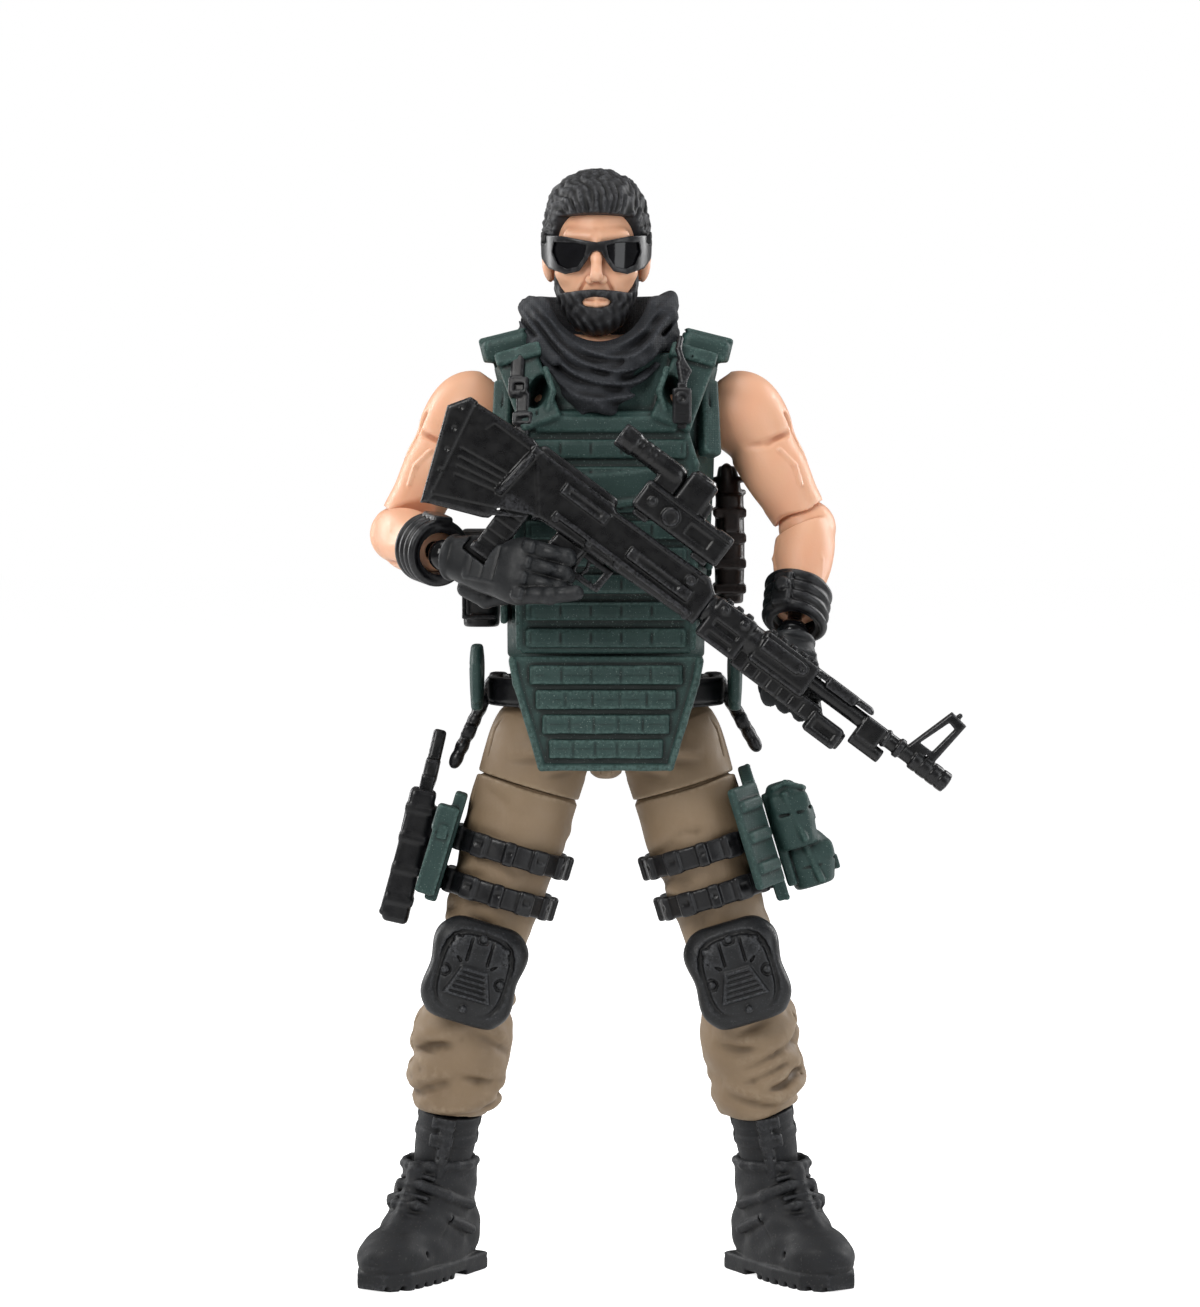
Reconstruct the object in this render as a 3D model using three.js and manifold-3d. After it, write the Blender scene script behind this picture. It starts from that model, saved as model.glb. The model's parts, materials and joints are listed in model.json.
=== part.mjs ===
// A poseable 1:18 soldier figure with a light machine gun, as separate solids.
// Millimetres, +Z up, the figure faces -Y and its left side is +X.
import * as THREE from "three";
import { mergeVertices } from "three/addons/utils/BufferGeometryUtils.js";
import Module from "manifold-3d";

const wasm = await Module();
wasm.setup();

// ---------- Driving dimensions ----------
const GAP = 0.35; // between pieces that touch
const SIDES = 10; // round a limb
const SMOOTHING = 0.09; // cut edges closer than this are merged
const degrees = THREE.MathUtils.degToRad;
const point = (x, y, z) => new THREE.Vector3(x, y, z);

// Joint centres. A limb's points are for the side where x grows outwards.
// The right side is their mirror image.
const HIP = point(6.0, 0, 49.5);
const KNEE = point(12.5, -1.2, 28.0);
const ANKLE = point(15.9, 1.2, 7.9);
const FLOOR = -1.5; // the soles' height
const TOE_OUT = degrees(33);
const SHOULDER = point(12.6, 0.5, 80.8);
const LEFT_ARM = {
  elbow: point(19.0, -0.6, 69.8), wrist: point(17.3, -8.6, 60.3), knuckles: point(16.9, -12.5,
    54.4), extraBend: degrees(25),
};
const RIGHT_ARM = {
  elbow: point(19.6, 0.0, 69.2), wrist: point(14.9, -12.4, 67.7), knuckles: point(6.4, -17.3,
    66.2), extraBend: degrees(12),
};
const WAIST_LOW = point(0, 0, 55.4);
const WAIST_HIGH = point(0, 0.2, 61.0);
const NECK_LOW = point(-0.6, 0.8, 87.0);
const NECK_HIGH = point(-0.9, 0.4, 92.6);
const FLAP_HINGE = point(0, -8.2, 58.2);
const HANGERS = [
  { top: point(-10.7, 3.2, 55.4), low: point(-14.4, 0.8, 47.4) },
  { top: point(10.7, 3.2, 55.4), low: point(14.3, 0.8, 49.0) },
];

// Ball-shaped ends that turn in their neighbours.
const DELTOID_R = 3.9;
const ELBOW_R = 2.75;
const HIP_R = 5.1;
const HIP_BALL_R = 2.1;
const WRIST_BALL_R = 1.5;
const KNEE_HALF_SPACING = 1.9;
const THIGH_CUT = 4.3; // below the hip, where the thigh swivels
const BOOT_TOP = 13.9;

// The gun's own frame: x along the bore from the butt, z up, y across. It lies in front of the chest.
const GUN_ORIGIN = point(-14.8, -15.6, 81.3);
const GUN_DROP = degrees(36.8);
const GUN_DIRECTION = point(Math.cos(GUN_DROP), 0, -Math.sin(GUN_DROP));
const GUN_LENGTH = 57.4;

// ---------- Solids ----------
function toSolid(geometry) {
  const bare = geometry.clone();
  for (const name of ["normal", "uv"]) bare.deleteAttribute(name);
  const merged = mergeVertices(bare, 1e-4);
  const index = merged.index.array;
  const kept = [];
  for (let i = 0; i < index.length; i += 3) {
    const [a, b, c] = [index[i], index[i + 1], index[i + 2]];
    if (a !== b && b !== c && a !== c) kept.push(a, b, c);
  }
  const vertProperties = new Float32Array(merged.attributes.position.array);
  return new wasm.Manifold(new wasm.Mesh({ numProp: 3, vertProperties, triVerts: new Uint32Array(kept) }));
}

function toGeometry(solid) {
  const mesh = solid.getMesh();
  const geometry = new THREE.BufferGeometry();
  geometry.setAttribute("position", new THREE.BufferAttribute(new Float32Array(mesh.vertProperties), 3));
  geometry.setIndex(new THREE.BufferAttribute(new Uint32Array(mesh.triVerts), 1));
  const flat = geometry.toNonIndexed();
  flat.computeVertexNormals();
  return flat;
}

// A limb-like solid: one superellipse section per entry, from the top down.
// Each section is [z, half width, half depth, shift x, shift y, squareness], where 2 is an ellipse.
function loft(sections, sides = SIDES) {
  const geometry = new THREE.CylinderGeometry(1, 1, 1, sides, sections.length - 1);
  const at = geometry.attributes.position;
  const rows = sections.length;
  for (let i = 0; i < at.count; i++) {
    const row = Math.round((0.5 - at.getY(i)) * (rows - 1));
    const [z, halfX, halfY, shiftX = 0, shiftY = 0, square = 2] = sections[row];
    const [x, y] = [at.getX(i), -at.getZ(i)];
    const radius = Math.hypot(x, y);
    const angle = Math.atan2(y, x);
    const bulge = (v) => Math.sign(v) * Math.abs(v) ** (2 / square);
    const across = radius < 1e-6 ? 0 : bulge(Math.cos(angle)) * halfX;
    const py = radius < 1e-6 ? 0 : bulge(Math.sin(angle)) * halfY;
    at.setXYZ(i, across + shiftX, py + shiftY, z);
  }
  return toSolid(geometry);
}

function ball(radius, centre = point(0, 0, 0), stretch = point(1, 1, 1), detail = 8) {
  const geometry = new THREE.SphereGeometry(radius, detail, Math.round(detail * 0.66));
  geometry.rotateX(Math.PI / 2);
  geometry.scale(stretch.x, stretch.y, stretch.z);
  return toSolid(geometry.translate(centre.x, centre.y, centre.z));
}

function rod(radius, from, to, endRadius = radius, sides = 8) {
  const along = to.clone().sub(from);
  const geometry = new THREE.CylinderGeometry(endRadius, radius, along.length(), sides);
  const turn = new THREE.Quaternion().setFromUnitVectors(point(0, 1, 0), along.clone().normalize());
  geometry.applyQuaternion(turn);
  const middle = from.clone().add(to).multiplyScalar(0.5);
  return toSolid(geometry.translate(middle.x, middle.y, middle.z));
}

function block(size, centre, turn = new THREE.Euler()) {
  const geometry = new THREE.BoxGeometry(...size);
  geometry.applyQuaternion(new THREE.Quaternion().setFromEuler(turn));
  return toSolid(geometry.translate(centre.x, centre.y, centre.z));
}

// An outline of [x, z] points, extruded along y and centred there.
function plate(outline, thickness, centreY = 0) {
  const shape = new THREE.Shape(outline.map(([x, z]) => new THREE.Vector2(x, z)));
  const geometry = new THREE.ExtrudeGeometry(shape, { depth: thickness, bevelEnabled: false });
  geometry.rotateX(Math.PI / 2);
  return toSolid(geometry.translate(0, centreY + thickness / 2, 0));
}

const joined = (...solids) => solids.reduce((all, next) => all.add(next));
const without = (solid, ...cutters) => cutters.reduce((left, next) => left.subtract(next), solid);

// ---------- Materials ----------
const finish = (color, roughness) => new THREE.MeshStandardMaterial({ color, roughness, metalness: 0 });
const SKIN = finish(0xe0a98c, 0.5);
const HAIR = finish(0x2c2d30, 0.8);
const LENS = finish(0x0b0b0d, 0.15);
const SCARF = finish(0x3a3b40, 0.85);
const VEST = finish(0x2f5048, 0.7);
const TROUSERS = finish(0x8c7a62, 0.75);
const GEAR = finish(0x1d1d22, 0.45);
const GUNMETAL = finish(0x17171a, 0.35);
const BOOT = finish(0x24262b, 0.8);
const PEG = finish(0x141416, 0.3);

// ---------- Placing ----------
const figure = new THREE.Group();

function add(parent, name, solid, material) {
  const mesh = new THREE.Mesh(toGeometry(solid.simplify(SMOOTHING)), material);
  mesh.name = name;
  parent.add(mesh);
  return mesh;
}

// A group whose origin is at `from`, whose -z runs to `to` and whose -y is as near `forward` as it can be.
function segment(parent, from, to, forward = point(0, -1, 0)) {
  const group = new THREE.Group();
  const up = from.clone().sub(to).normalize();
  const front = forward.clone().projectOnPlane(up).normalize();
  const side = new THREE.Vector3().crossVectors(up, front);
  const basis = new THREE.Matrix4().makeBasis(side, front.negate(), up);
  group.position.copy(from);
  group.quaternion.setFromRotationMatrix(basis);
  parent.add(group);
  return group;
}

// A solid made in the figure's frame, carried into a segment's own frame.
function inFrameOf(group, solid) {
  group.updateMatrix();
  const geometry = toGeometry(solid).applyMatrix4(group.matrix.clone().invert());
  return toSolid(geometry);
}

// ---------- Pelvis ----------
function makePelvis() {
  const group = new THREE.Group();
  group.position.set(0, 0, HIP.z);
  figure.add(group);
  const body = loft([
    [6.7, 8.4, 5.0], [5.2, 9.2, 5.4], [3.0, 9.4, 5.4], [0.5, 5.0, 4.9, 0, 0.3], [-2.2, 2.2, 3.6, 0,
      0.3], [-3.4, 1.0, 2.2, 0, 0.4],
  ]);
  const sockets = [-1, 1].map((side) => ball(HIP_R + GAP, point(side * HIP.x, 0, 0), undefined, 14));
  const bores = [-1, 1].map((side) => rod(1.0 + GAP, point(side * 0.25, 0, 0), point(side * 3, 0, 0)));
  const pocket = rod(2.6 + GAP, point(0, 0, WAIST_LOW.z - HIP.z - 0.9), point(0, 0, 9));
  add(group, "hips", without(body, ...sockets, ...bores, pocket), TROUSERS);

  // The belt, its buckle and the two straps that hang from it to the thigh rigs.
  const ring = loft([[6.3, 11.2, 6.7], [3.6, 11.2, 6.7]], 20);
  const hole = loft([[7, 10.4, 5.9], [3, 10.4, 5.9]], 20);
  const buckle = block([3.4, 0.8, 2.4], point(0, -6.9, 5.0));
  const hangers = HANGERS.map(({ top, low }) => {
    const web = segment(new THREE.Group(), top, low);
    web.updateMatrix();
    const length = top.distanceTo(low);
    const solid = joined(
      block([0.9, 1.6, length], point(0, 0, -length / 2)),
      ...[0.3, 0.62].map((share) => block([1.3, 2.2, 1.4], point(0, 0, -length * share))),
    );
    return inFrameOf(group, toSolid(toGeometry(solid).applyMatrix4(web.matrix)));
  });
  add(group, "belt", joined(without(ring, hole), buckle, ...hangers), GEAR);

  for (const side of [-1, 1]) {
    const flap = loft([[9.4, 0.5, 2.2], [8.4, 0.6, 2.7], [5.6, 0.6, 2.5], [3.2, 0.5, 1.8]], 8);
    const mesh = add(group, side < 0 ? "hip_pouch_right" : "hip_pouch_left", flap, VEST);
    mesh.position.set(side * 12.15, -1.8, 0);
  }
}

// ---------- Waist and torso ----------
function makeWaistPeg() {
  const group = new THREE.Group();
  figure.add(group);
  const disc = rod(2.6, point(0, 0, WAIST_LOW.z - 0.6), point(0, 0, WAIST_LOW.z + 0.6));
  const stem = rod(1.4, point(0, 0, WAIST_LOW.z), WAIST_HIGH);
  add(group, "waist_peg", joined(disc, stem, ball(2.3, WAIST_HIGH)), PEG);
}

const CHEST_SECTIONS = [
  [88.0, 3.2, 3.0, -0.5, 0.6], [86.4, 4.4, 3.7, -0.3, 0.5], [84.6, 7.4, 4.6, 0, 0.4], [82.0, 8.9, 5.4, 0,
    0.2],
  [77.0, 9.2, 6.0, 0, 0.0], [71.0, 8.4, 5.6, 0, 0.2], [65.0, 7.7, 5.1, 0, 0.2], [58.2, 8.0, 4.9, 0, 0.2],
];
const grown = (sections, by) => sections.map(([z, x, y, ...rest]) => [z, x + by, y + by, ...rest]);

function makeTorso() {
  const group = new THREE.Group();
  figure.add(group);
  const shoulders = [-1, 1].map((side) =>
    ball(DELTOID_R + GAP, point(side * SHOULDER.x, SHOULDER.y, SHOULDER.z), undefined, 14));
  const bores = [-1, 1].map((side) =>
    rod(1.2 + GAP, point(side * 5.2, SHOULDER.y, SHOULDER.z), point(side * 12, SHOULDER.y, SHOULDER.z)));
  const neckSocket = ball(1.5 + GAP, NECK_LOW);
  const neckMouth = rod(1.0 + GAP, NECK_LOW, point(NECK_LOW.x, NECK_LOW.y, 89), 2.4);
  const waistSocket = ball(2.3 + GAP, WAIST_HIGH);
  const waistMouth = rod(3.4, point(0, 0, 57), WAIST_HIGH, 1.5 + GAP);
  const chest = loft(CHEST_SECTIONS);
  add(group, "chest", without(chest, ...shoulders, ...bores, neckSocket, neckMouth, waistSocket,
    waistMouth), SKIN);

  // The vest is one shell round the chest, split at its side seams.
  const outer = loft([
    [85.9, 10.9, 6.6, 0, 0.2, 2.6], [82.0, 10.2, 7.6, 0, 0.0, 2.8], [77.0, 10.2, 8.6, 0, -0.2, 2.8], [70.0,
      9.9, 8.3, 0, -0.2, 2.8],
    [64.0, 9.4, 7.6, 0, -0.2, 2.8], [57.6, 9.3, 7.2, 0, -0.2, 2.8],
  ], 20);
  const inner = loft([[90, 3.6, 3.4, -0.5, 0.6], ...grown(CHEST_SECTIONS.slice(1, 7), GAP),
    [57, 8.4, 5.3, 0, 0.2]]);
  const collar = rod(5.0, point(-0.4, 0, 80.5), point(-0.4, 0, 90), 6.6, 16);
  const shell = without(outer, inner, collar, ...shoulders, ...bores);
  const half = (y, side) => block([40, 20, 60], point(0, y + side * 10, 72));
  const padSolids = [-1, 1].map((side) =>
    block([4.6, 9.4, 2.4], point(side * 9.3, 0.3, 86.8), new THREE.Euler(0, side * degrees(14), 0)));
  const webbing = [59.6, 62.6, 65.6, 68.6, 71.6, 74.6, 77.4].map((z) => block([15.6, 1.1, 1.9],
    point(0, -8.2, z)));
  const frontShell = joined(shell.intersect(half(-0.2, -1)), ...webbing);
  const backWebbing = webbing.map((_, row) => block([15.6, 1.1, 1.9], point(0, 7.9, 59.6 + row * 3)));
  const backShell = joined(shell.intersect(half(0.2, 1)), ...backWebbing, ...padSolids);
  const padSpace = [-1, 1].map((side) =>
    block([5.4, 10.2, 3.2], point(side * 9.3, 0.3, 86.8), new THREE.Euler(0, side * degrees(14), 0)));
  add(group, "vest_front", without(largest(frontShell), ...padSpace), VEST);
  add(group, "vest_back", without(largest(backShell), ...shoulders, inner), VEST);

  // A ring of cloth with a point at the throat, hollowed for the jaw to turn in.
  const cloth = loft([
    [91.6, 6.9, 6.2, -0.7, 0.7], [89.6, 7.3, 7.0, -0.6, 0.3], [87.2, 7.2, 7.4, -0.6, -0.1], [84.6, 5.4, 5.4,
      -0.7, -3.4],
    [81.4, 2.2, 1.4, -0.9, -8.9],
  ], 18);
  const cavity = loft([
    [92, 6.3, 6.0, -0.8, 0.3], [89.8, 6.0, 5.8, -0.8, 0.3], [88.0, 5.0, 5.0, -0.8, 0.4], [86.9, 3.6, 3.6,
      -0.6, 0.5], [80.5, 3.6, 3.4, -0.6, 0.8],
  ], 18);
  const vestSpace = without(
    loft(grown([[86.3, 10.9, 6.6, 0, 0.2, 2.6], [82.0, 10.2, 7.6, 0, 0.0, 2.8],
      [77.0, 10.2, 8.9, 0, -0.2, 2.8]], GAP), 20),
    rod(4.5, point(-0.4, 0, 80.5), point(-0.4, 0, 90), 6.1, 16),
  );
  const chestSpace = loft([[90, 3.6, 3.4, -0.5, 0.6], ...grown(CHEST_SECTIONS.slice(1), GAP)]);
  const frontDrop = block([16, 12, 8], point(-0.8, -11.0, 94.6), new THREE.Euler(degrees(14), 0, 0));
  add(group, "scarf", largest(without(cloth, cavity, chestSpace, vestSpace, frontDrop, ...padSpace)),
    SCARF);

  const radio = loft([
    [75.6, 0.7, 1.3, -0.3, 0.6, 3], [73.8, 1.0, 1.8, -0.2, 0.3, 3], [71.0, 1.25, 2.4, 0, 0, 3], [62.6, 1.3,
      2.4, 0, 0, 3],
  ], 10);
  add(group, "radio_pouch_left", radio, GEAR).position.set(11.75, 2.6, 0);
  const pouch = loft([
    [69.4, 1.7, 2.2, 0, 0, 3], [66.6, 1.9, 2.4, 0, 0, 3], [60.2, 1.7, 2.2, 0, 0, 3],
  ], 10);
  add(group, "mag_pouch_right", pouch, GEAR).position.set(-11.9, 5.8, 0);
  const talkSwitch = joined(block([1.7, 1.0, 3.2], point(0, 0, 0)),
    block([0.8, 0.6, 4.2], point(0, 0.2, 0)));
  add(group, "talk_switch", talkSwitch, GEAR).position.set(7.0, -9.1, 81.4);
}

// The biggest of a solid's separate bodies, where a cut leaves crumbs.
function largest(solid) {
  return solid.decompose().reduce((best, next) => (next.volume() > best.volume() ? next : best));
}

function makeGroinFlap() {
  const group = new THREE.Group();
  group.position.copy(FLAP_HINGE);
  figure.add(group);
  const apron = plate([
    [-9.0, 0], [9.0, 0], [8.6, -2.4], [6.2, -10.6], [-6.2, -10.6], [-8.6, -2.4],
  ], 1.0, -0.4);
  const rows = [-1.9, -4.6, -7.3].map((z, row) => block([15.4 - row * 2, 0.6, 1.7], point(0, -1.1, z)));
  add(group, "groin_flap", joined(apron, ...rows), VEST);
}

// ---------- Neck and head ----------
function makeNeckPost() {
  const group = new THREE.Group();
  figure.add(group);
  const stem = rod(1.0, NECK_LOW, NECK_HIGH);
  add(group, "neck_post", joined(ball(1.5, NECK_LOW), stem, ball(1.6, NECK_HIGH)), SKIN);
}

function makeHead() {
  const group = new THREE.Group();
  group.position.copy(NECK_HIGH);
  figure.add(group);
  const skull = loft([
    [10.1, 2.1, 2.7, 0, 0.4], [9.3, 3.6, 4.6, 0, 0.2], [7.0, 4.6, 5.8, 0, 0], [3.9, 4.7, 5.9, 0, -0.1],
    [1.2, 4.3, 5.4, 0, -0.5], [-1.4, 3.9, 4.6, 0, -1.0], [-3.0, 2.9, 3.6, 0, -1.6], [-3.9, 1.6, 2.2, 0,
      -2.2],
  ], 16);
  const nose = loft([[3.4, 0.5, 0.5, 0, -6.0], [1.2, 0.9, 1.2, 0, -6.3], [0.4, 0.7, 0.6, 0, -6.0]], 6);
  const ears = [-1, 1].map((side) => ball(1.4, point(side * 4.55, 0.4, 2.8), point(0.45, 0.8, 1.2), 8));
  const socket = ball(1.6 + GAP, point(0, 0, 0));
  const mouth = rod(2.6, point(0, 0.4, -6), point(0, 0, 0), 1.3 + GAP);
  const glassesSpace = block([10.6, 4.4, 4.0], point(0, -6.1, 3.6));
  const templeSpace = [-1, 1].map((side) => block([1.2, 9.4, 1.2], point(side * 4.9, -2.1, 4.6)));
  const face = without(joined(skull, nose, ...ears), socket, mouth);
  const bars = [-1, 1].map((side) => block([0.6, 6.0, 0.8], point(side * 5.0, -2.5, 4.6)));
  const front = block([10.2, 1.0, 3.2], point(0, -5.4, 3.6));
  const noseGap = block([1.6, 3.0, 2.2], point(0, -5.4, 2.2));
  const glasses = without(joined(front, ...bars), noseGap, loft(grown([
    [11.0, 3.6, 4.6, 0, 0.2], [7.0, 4.6, 5.8, 0, 0], [3.9, 4.7, 5.9, 0, -0.1], [0, 4.1, 5.1, 0, -0.7],
  ], -0.2), 16));
  add(group, "head", without(face, ...templeSpace, glassesSpace.intersect(block([10.6, 2.4, 4.0],
    point(0, -5.8, 3.6)))), SKIN);
  add(group, "sunglasses", largest(glasses), LENS);

  const scalp = [
    [10.1, 2.1, 2.7, 0, 0.4], [9.3, 3.6, 4.6, 0, 0.2], [7.0, 4.6, 5.8, 0, 0], [3.9, 4.7, 5.9, 0, -0.1],
    [1.2, 4.3, 5.4, 0, -0.5], [-1.4, 3.9, 4.6, 0, -1.0],
  ];
  const cap = loft([[11.0, 1.6, 2.2, 0, 0.4], ...grown(scalp, 0.75)], 16);
  const bare = loft([[10.45, 2.1, 2.7, 0, 0.4], ...grown(scalp, GAP)], 16);
  const faceOpening = block([16, 14, 16], point(0, -9.2, -0.9), new THREE.Euler(degrees(-20), 0, 0));
  const earSpace = [-1, 1].map((side) => block([3, 4.4, 5.4], point(side * 5.2, -0.6, 2.6)));
  const nape = block([14, 14, 6], point(0, 0, -2.4));
  add(group, "hair", largest(without(cap, bare, faceOpening, ...earSpace, ...templeSpace, nape)), HAIR);
}

// ---------- Arms ----------
const ARM_NAMES = (side) => (side < 0 ? "right" : "left");

function makeArm(side, { elbow, wrist, knuckles, extraBend }) {
  const sideName = ARM_NAMES(side);
  const mirror = new THREE.Group();
  mirror.scale.x = side;
  figure.add(mirror);
  const length = SHOULDER.distanceTo(elbow);
  const reach = elbow.distanceTo(wrist);

  const pegGroup = new THREE.Group();
  mirror.add(pegGroup);
  const shaft = rod(1.2, point(5.6, SHOULDER.y, SHOULDER.z), SHOULDER);
  add(pegGroup, `shoulder_peg_${sideName}`, joined(shaft, ball(1.9, SHOULDER)), SKIN);

  const upper = segment(mirror, SHOULDER, elbow);
  const muscle = loft([
    [3.2, 1.9, 1.9], [1.6, 3.3, 3.4], [-0.4, 3.6, 3.7], [-3.5, 3.5, 3.7], [-6.5, 3.1, 3.3, 0, -0.2], [-9.4,
      3.0, 3.2, 0, -0.3],
    [-length + 1.2, 2.6, 2.7],
  ]);
  const slot = inFrameOf(upper, joined(
    rod(1.2 + GAP, point(5.5, SHOULDER.y, SHOULDER.z), SHOULDER, 1.3 + GAP),
    rod(1.2 + GAP, point(8.5, SHOULDER.y, SHOULDER.z + 5.5), SHOULDER, 1.3 + GAP),
    rod(1.2 + GAP, point(7.0, SHOULDER.y, SHOULDER.z + 3.2), SHOULDER, 1.3 + GAP),
    rod(1.2 + GAP, point(6.0, SHOULDER.y, SHOULDER.z - 3.0), SHOULDER, 1.3 + GAP),
  ));
  const cup = ball(ELBOW_R + GAP, point(0, 0, -length), undefined, 14);
  const swivelBore = rod(0.9 + GAP, point(0, 0, -length), point(0, 0, -length + 6.4));

  // The elbow link swivels in the upper arm and is hinged in the forearm. Each limb is cut back inside the bend.
  const bendAxis = elbow.clone().sub(SHOULDER).cross(wrist.clone().sub(elbow)).normalize();
  const forward = elbow.clone().sub(SHOULDER).cross(bendAxis).negate();
  const restBend = elbow.clone().sub(SHOULDER).angleTo(wrist.clone().sub(elbow));
  const wedge = (restBend + extraBend) / 2;
  const insideBend = block([9, 9, 9], point(0, -4.5, -4.5)).rotate([-THREE.MathUtils.radToDeg(wedge), 0,
    0]);
  const bendFrame = segment(mirror, elbow, elbow.clone().add(elbow).sub(SHOULDER), forward);
  bendFrame.updateMatrix();
  const upperCut = inFrameOf(upper, toSolid(toGeometry(insideBend).applyMatrix4(bendFrame.matrix)));
  add(upper, `upper_arm_${sideName}`, largest(without(
    joined(ball(DELTOID_R, undefined, undefined, 12), muscle), ball(1.9
      + GAP), slot, cup, swivelBore, upperCut,
  )), SKIN);
  const link = segment(mirror, elbow, elbow.clone().add(elbow).sub(SHOULDER), forward);
  const disc = rod(1.4, point(-0.6, 0, 0), point(0.6, 0, 0));
  const swivelPeg = rod(0.9, point(0, 0, 0), point(0, 0, 6.0));
  add(link, `elbow_link_${sideName}`, joined(disc, swivelPeg), SKIN);

  const insideForearm = bendAxis.clone().cross(wrist.clone().sub(elbow));
  const lower = segment(mirror, elbow, wrist, insideForearm);
  const lowerCut = block([9, 9, 9], point(0, -4.5, 4.5)).rotate([THREE.MathUtils.radToDeg(wedge), 0, 0]);
  const forearm = loft([
    [1.6, 1.7, 1.7], [0.4, 2.6, 2.6], [-1.6, 2.8, 2.9], [-4.0, 2.8, 2.9], [-6.8, 2.4, 2.4], [-reach + 2.4,
      2.0, 2.0],
  ]);
  const linkSpace = [-0.1, 0.3, 0.7, 1.1].map((share) => {
    const turn = new THREE.Quaternion().setFromAxisAngle(point(1, 0, 0), restBend * share);
    const arm = block([1.2 + 2 * GAP, 1.8 + 2 * GAP, 4.4], point(0, 0, 2.2));
    const geometry = toGeometry(arm).applyQuaternion(turn);
    return toSolid(geometry);
  });
  const discSpace = rod(1.4 + GAP, point(-0.6 - GAP, 0, 0), point(0.6 + GAP, 0, 0));
  const wristBore = rod(0.7 + GAP, point(0, 0, -reach), point(0, 0, -reach + 5.4));
  add(lower, `forearm_${sideName}`,
    largest(joined(
      without(joined(ball(ELBOW_R, undefined, undefined, 12), without(forearm, lowerCut)), discSpace,
        ...linkSpace, wristBore),
    )), SKIN);

  const cuffOuter = loft([
    [-reach + 5.4, 2.9, 2.9], [-reach + 4.6, 3.1, 3.1], [-reach + 2.2, 3.0, 3.0], [-reach + 1.0, 2.8, 2.8],
  ]);
  const cuffInner = loft(grown([
    [-4.0, 2.8, 2.9], [-6.8, 2.4, 2.4], [-reach + 2.4, 2.0, 2.0], [-reach + 1.9, 2.0, 2.0],
  ], GAP));
  const cuffMouth = rod(1.9, point(0, 0, -reach), point(0, 0, -reach + 1.95), 1.9, 12);
  const watch = rod(1.3, point(-2.6, 0, -reach + 3.3), point(-3.5, 0, -reach + 3.3));
  const cuff = joined(without(cuffOuter, cuffInner, cuffMouth, wristBore), ...(side < 0 ? [watch] : []));
  add(lower, `cuff_${sideName}`, largest(side < 0 ? without(cuff, cuffInner) : cuff), GEAR);

  const peg = joined(ball(WRIST_BALL_R, point(0, 0, -reach)),
    rod(0.7, point(0, 0, -reach), point(0, 0, -reach + 4.8)));
  add(lower, `wrist_peg_${sideName}`, peg, PEG);

  makeHand(mirror, sideName, wrist, knuckles);
}

// A gloved hand: the palm, four fingers and a thumb, with the gun's space cut out.
// The right hand closes round the grip and its first finger lies along the trigger guard.
// The left hand is an open cup under the handguard, so the gun can be lifted out of it.
function makeHand(mirror, sideName, wrist, knuckles) {
  const right = sideName === "right";
  const up = wrist.clone().sub(knuckles).normalize();
  const backOfHand = right ? point(0, -1, 0.15) : GUN_DIRECTION.clone().cross(up);
  const hand = segment(mirror, wrist, knuckles, backOfHand);
  const size = wrist.distanceTo(knuckles);
  const socket = ball(WRIST_BALL_R + GAP);
  const mouth = rod(1.5, point(0, 0, 3.0), point(0, 0, 0), 1.3);
  const palm = loft([
    [-0.6, 1.6, 1.6, 0, 0, 2.4], [-2.4, 2.3, 1.9, 0, 0, 2.4], [-0.6 * size, 2.9, 1.9, 0, 0, 2.6],
    [-size + 0.6, 3.0, 1.9, 0, 0, 2.6], [-size, 2.7, 1.4, 0, 0, 2.6],
  ], 12);
  const parts = [palm];
  const bend = right ? { y: 1.4, z: -2.4 } : { y: -0.9, z: -1.9 };
  const tip = right ? { y: 4.4, z: -0.6 } : { y: -4.2, z: -2.1 };
  const fingers = right ? [-2.2, -0.7, 0.8] : [-2.2, -0.7, 0.8, 2.2];
  for (const x of fingers) {
    parts.push(rod(0.85, point(x, 0, -size + 0.4), point(x, bend.y, -size + bend.z), 0.8, 8));
    parts.push(rod(0.8, point(x, bend.y - 0.2, -size + bend.z), point(x, tip.y, -size + tip.z), 0.7, 8));
  }
  if (right) {
    parts.push(rod(0.85, point(2.2, -0.6, -size + 0.6), point(1.6, -0.6, -size - 2.6), 0.8, 8));
    parts.push(rod(0.8, point(1.6, -0.6, -size - 2.4), point(1.0, -0.4, -size - 4.9), 0.65, 8));
  } else {
    parts.push(rod(0.9, point(-2.0, -0.4, -2.8), point(-3.6, -0.9, -5.4), 0.75, 8));
  }
  const solid = without(joined(...parts), socket, mouth);
  const gunSpace = gunEnvelope(right).map((s) => mirroredInto(hand, s, right ? -1 : 1));
  add(hand, `hand_${sideName}`, largest(without(solid, ...gunSpace)), BOOT);
}

// A solid of the figure's frame in a hand's own frame; the right arm is built mirrored.
function mirroredInto(group, solid, side) {
  const geometry = toGeometry(solid);
  if (side < 0) {
    geometry.scale(-1, 1, 1);
    const at = geometry.attributes.position;
    for (let i = 0; i < at.count; i += 3) {
      const [bx, by, bz, cx, cy, cz] = [1, 2].flatMap((k) => [at.getX(i + k), at.getY(i + k),
        at.getZ(i + k)]);
      at.setXYZ(i + 1, cx, cy, cz);
      at.setXYZ(i + 2, bx, by, bz);
    }
  }
  group.updateMatrix();
  return toSolid(geometry.applyMatrix4(group.matrix.clone().invert()));
}

// ---------- Gun ----------
const BODY_WIDTH = 2.8;
const GRIP_WIDTH = 2.0;
const GUARD_WIDTH = 3.0;
const MAGAZINE = { x: 10.9, length: 2.6, width: 1.7, top: -3.0, bottom: -8.4 };
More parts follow.
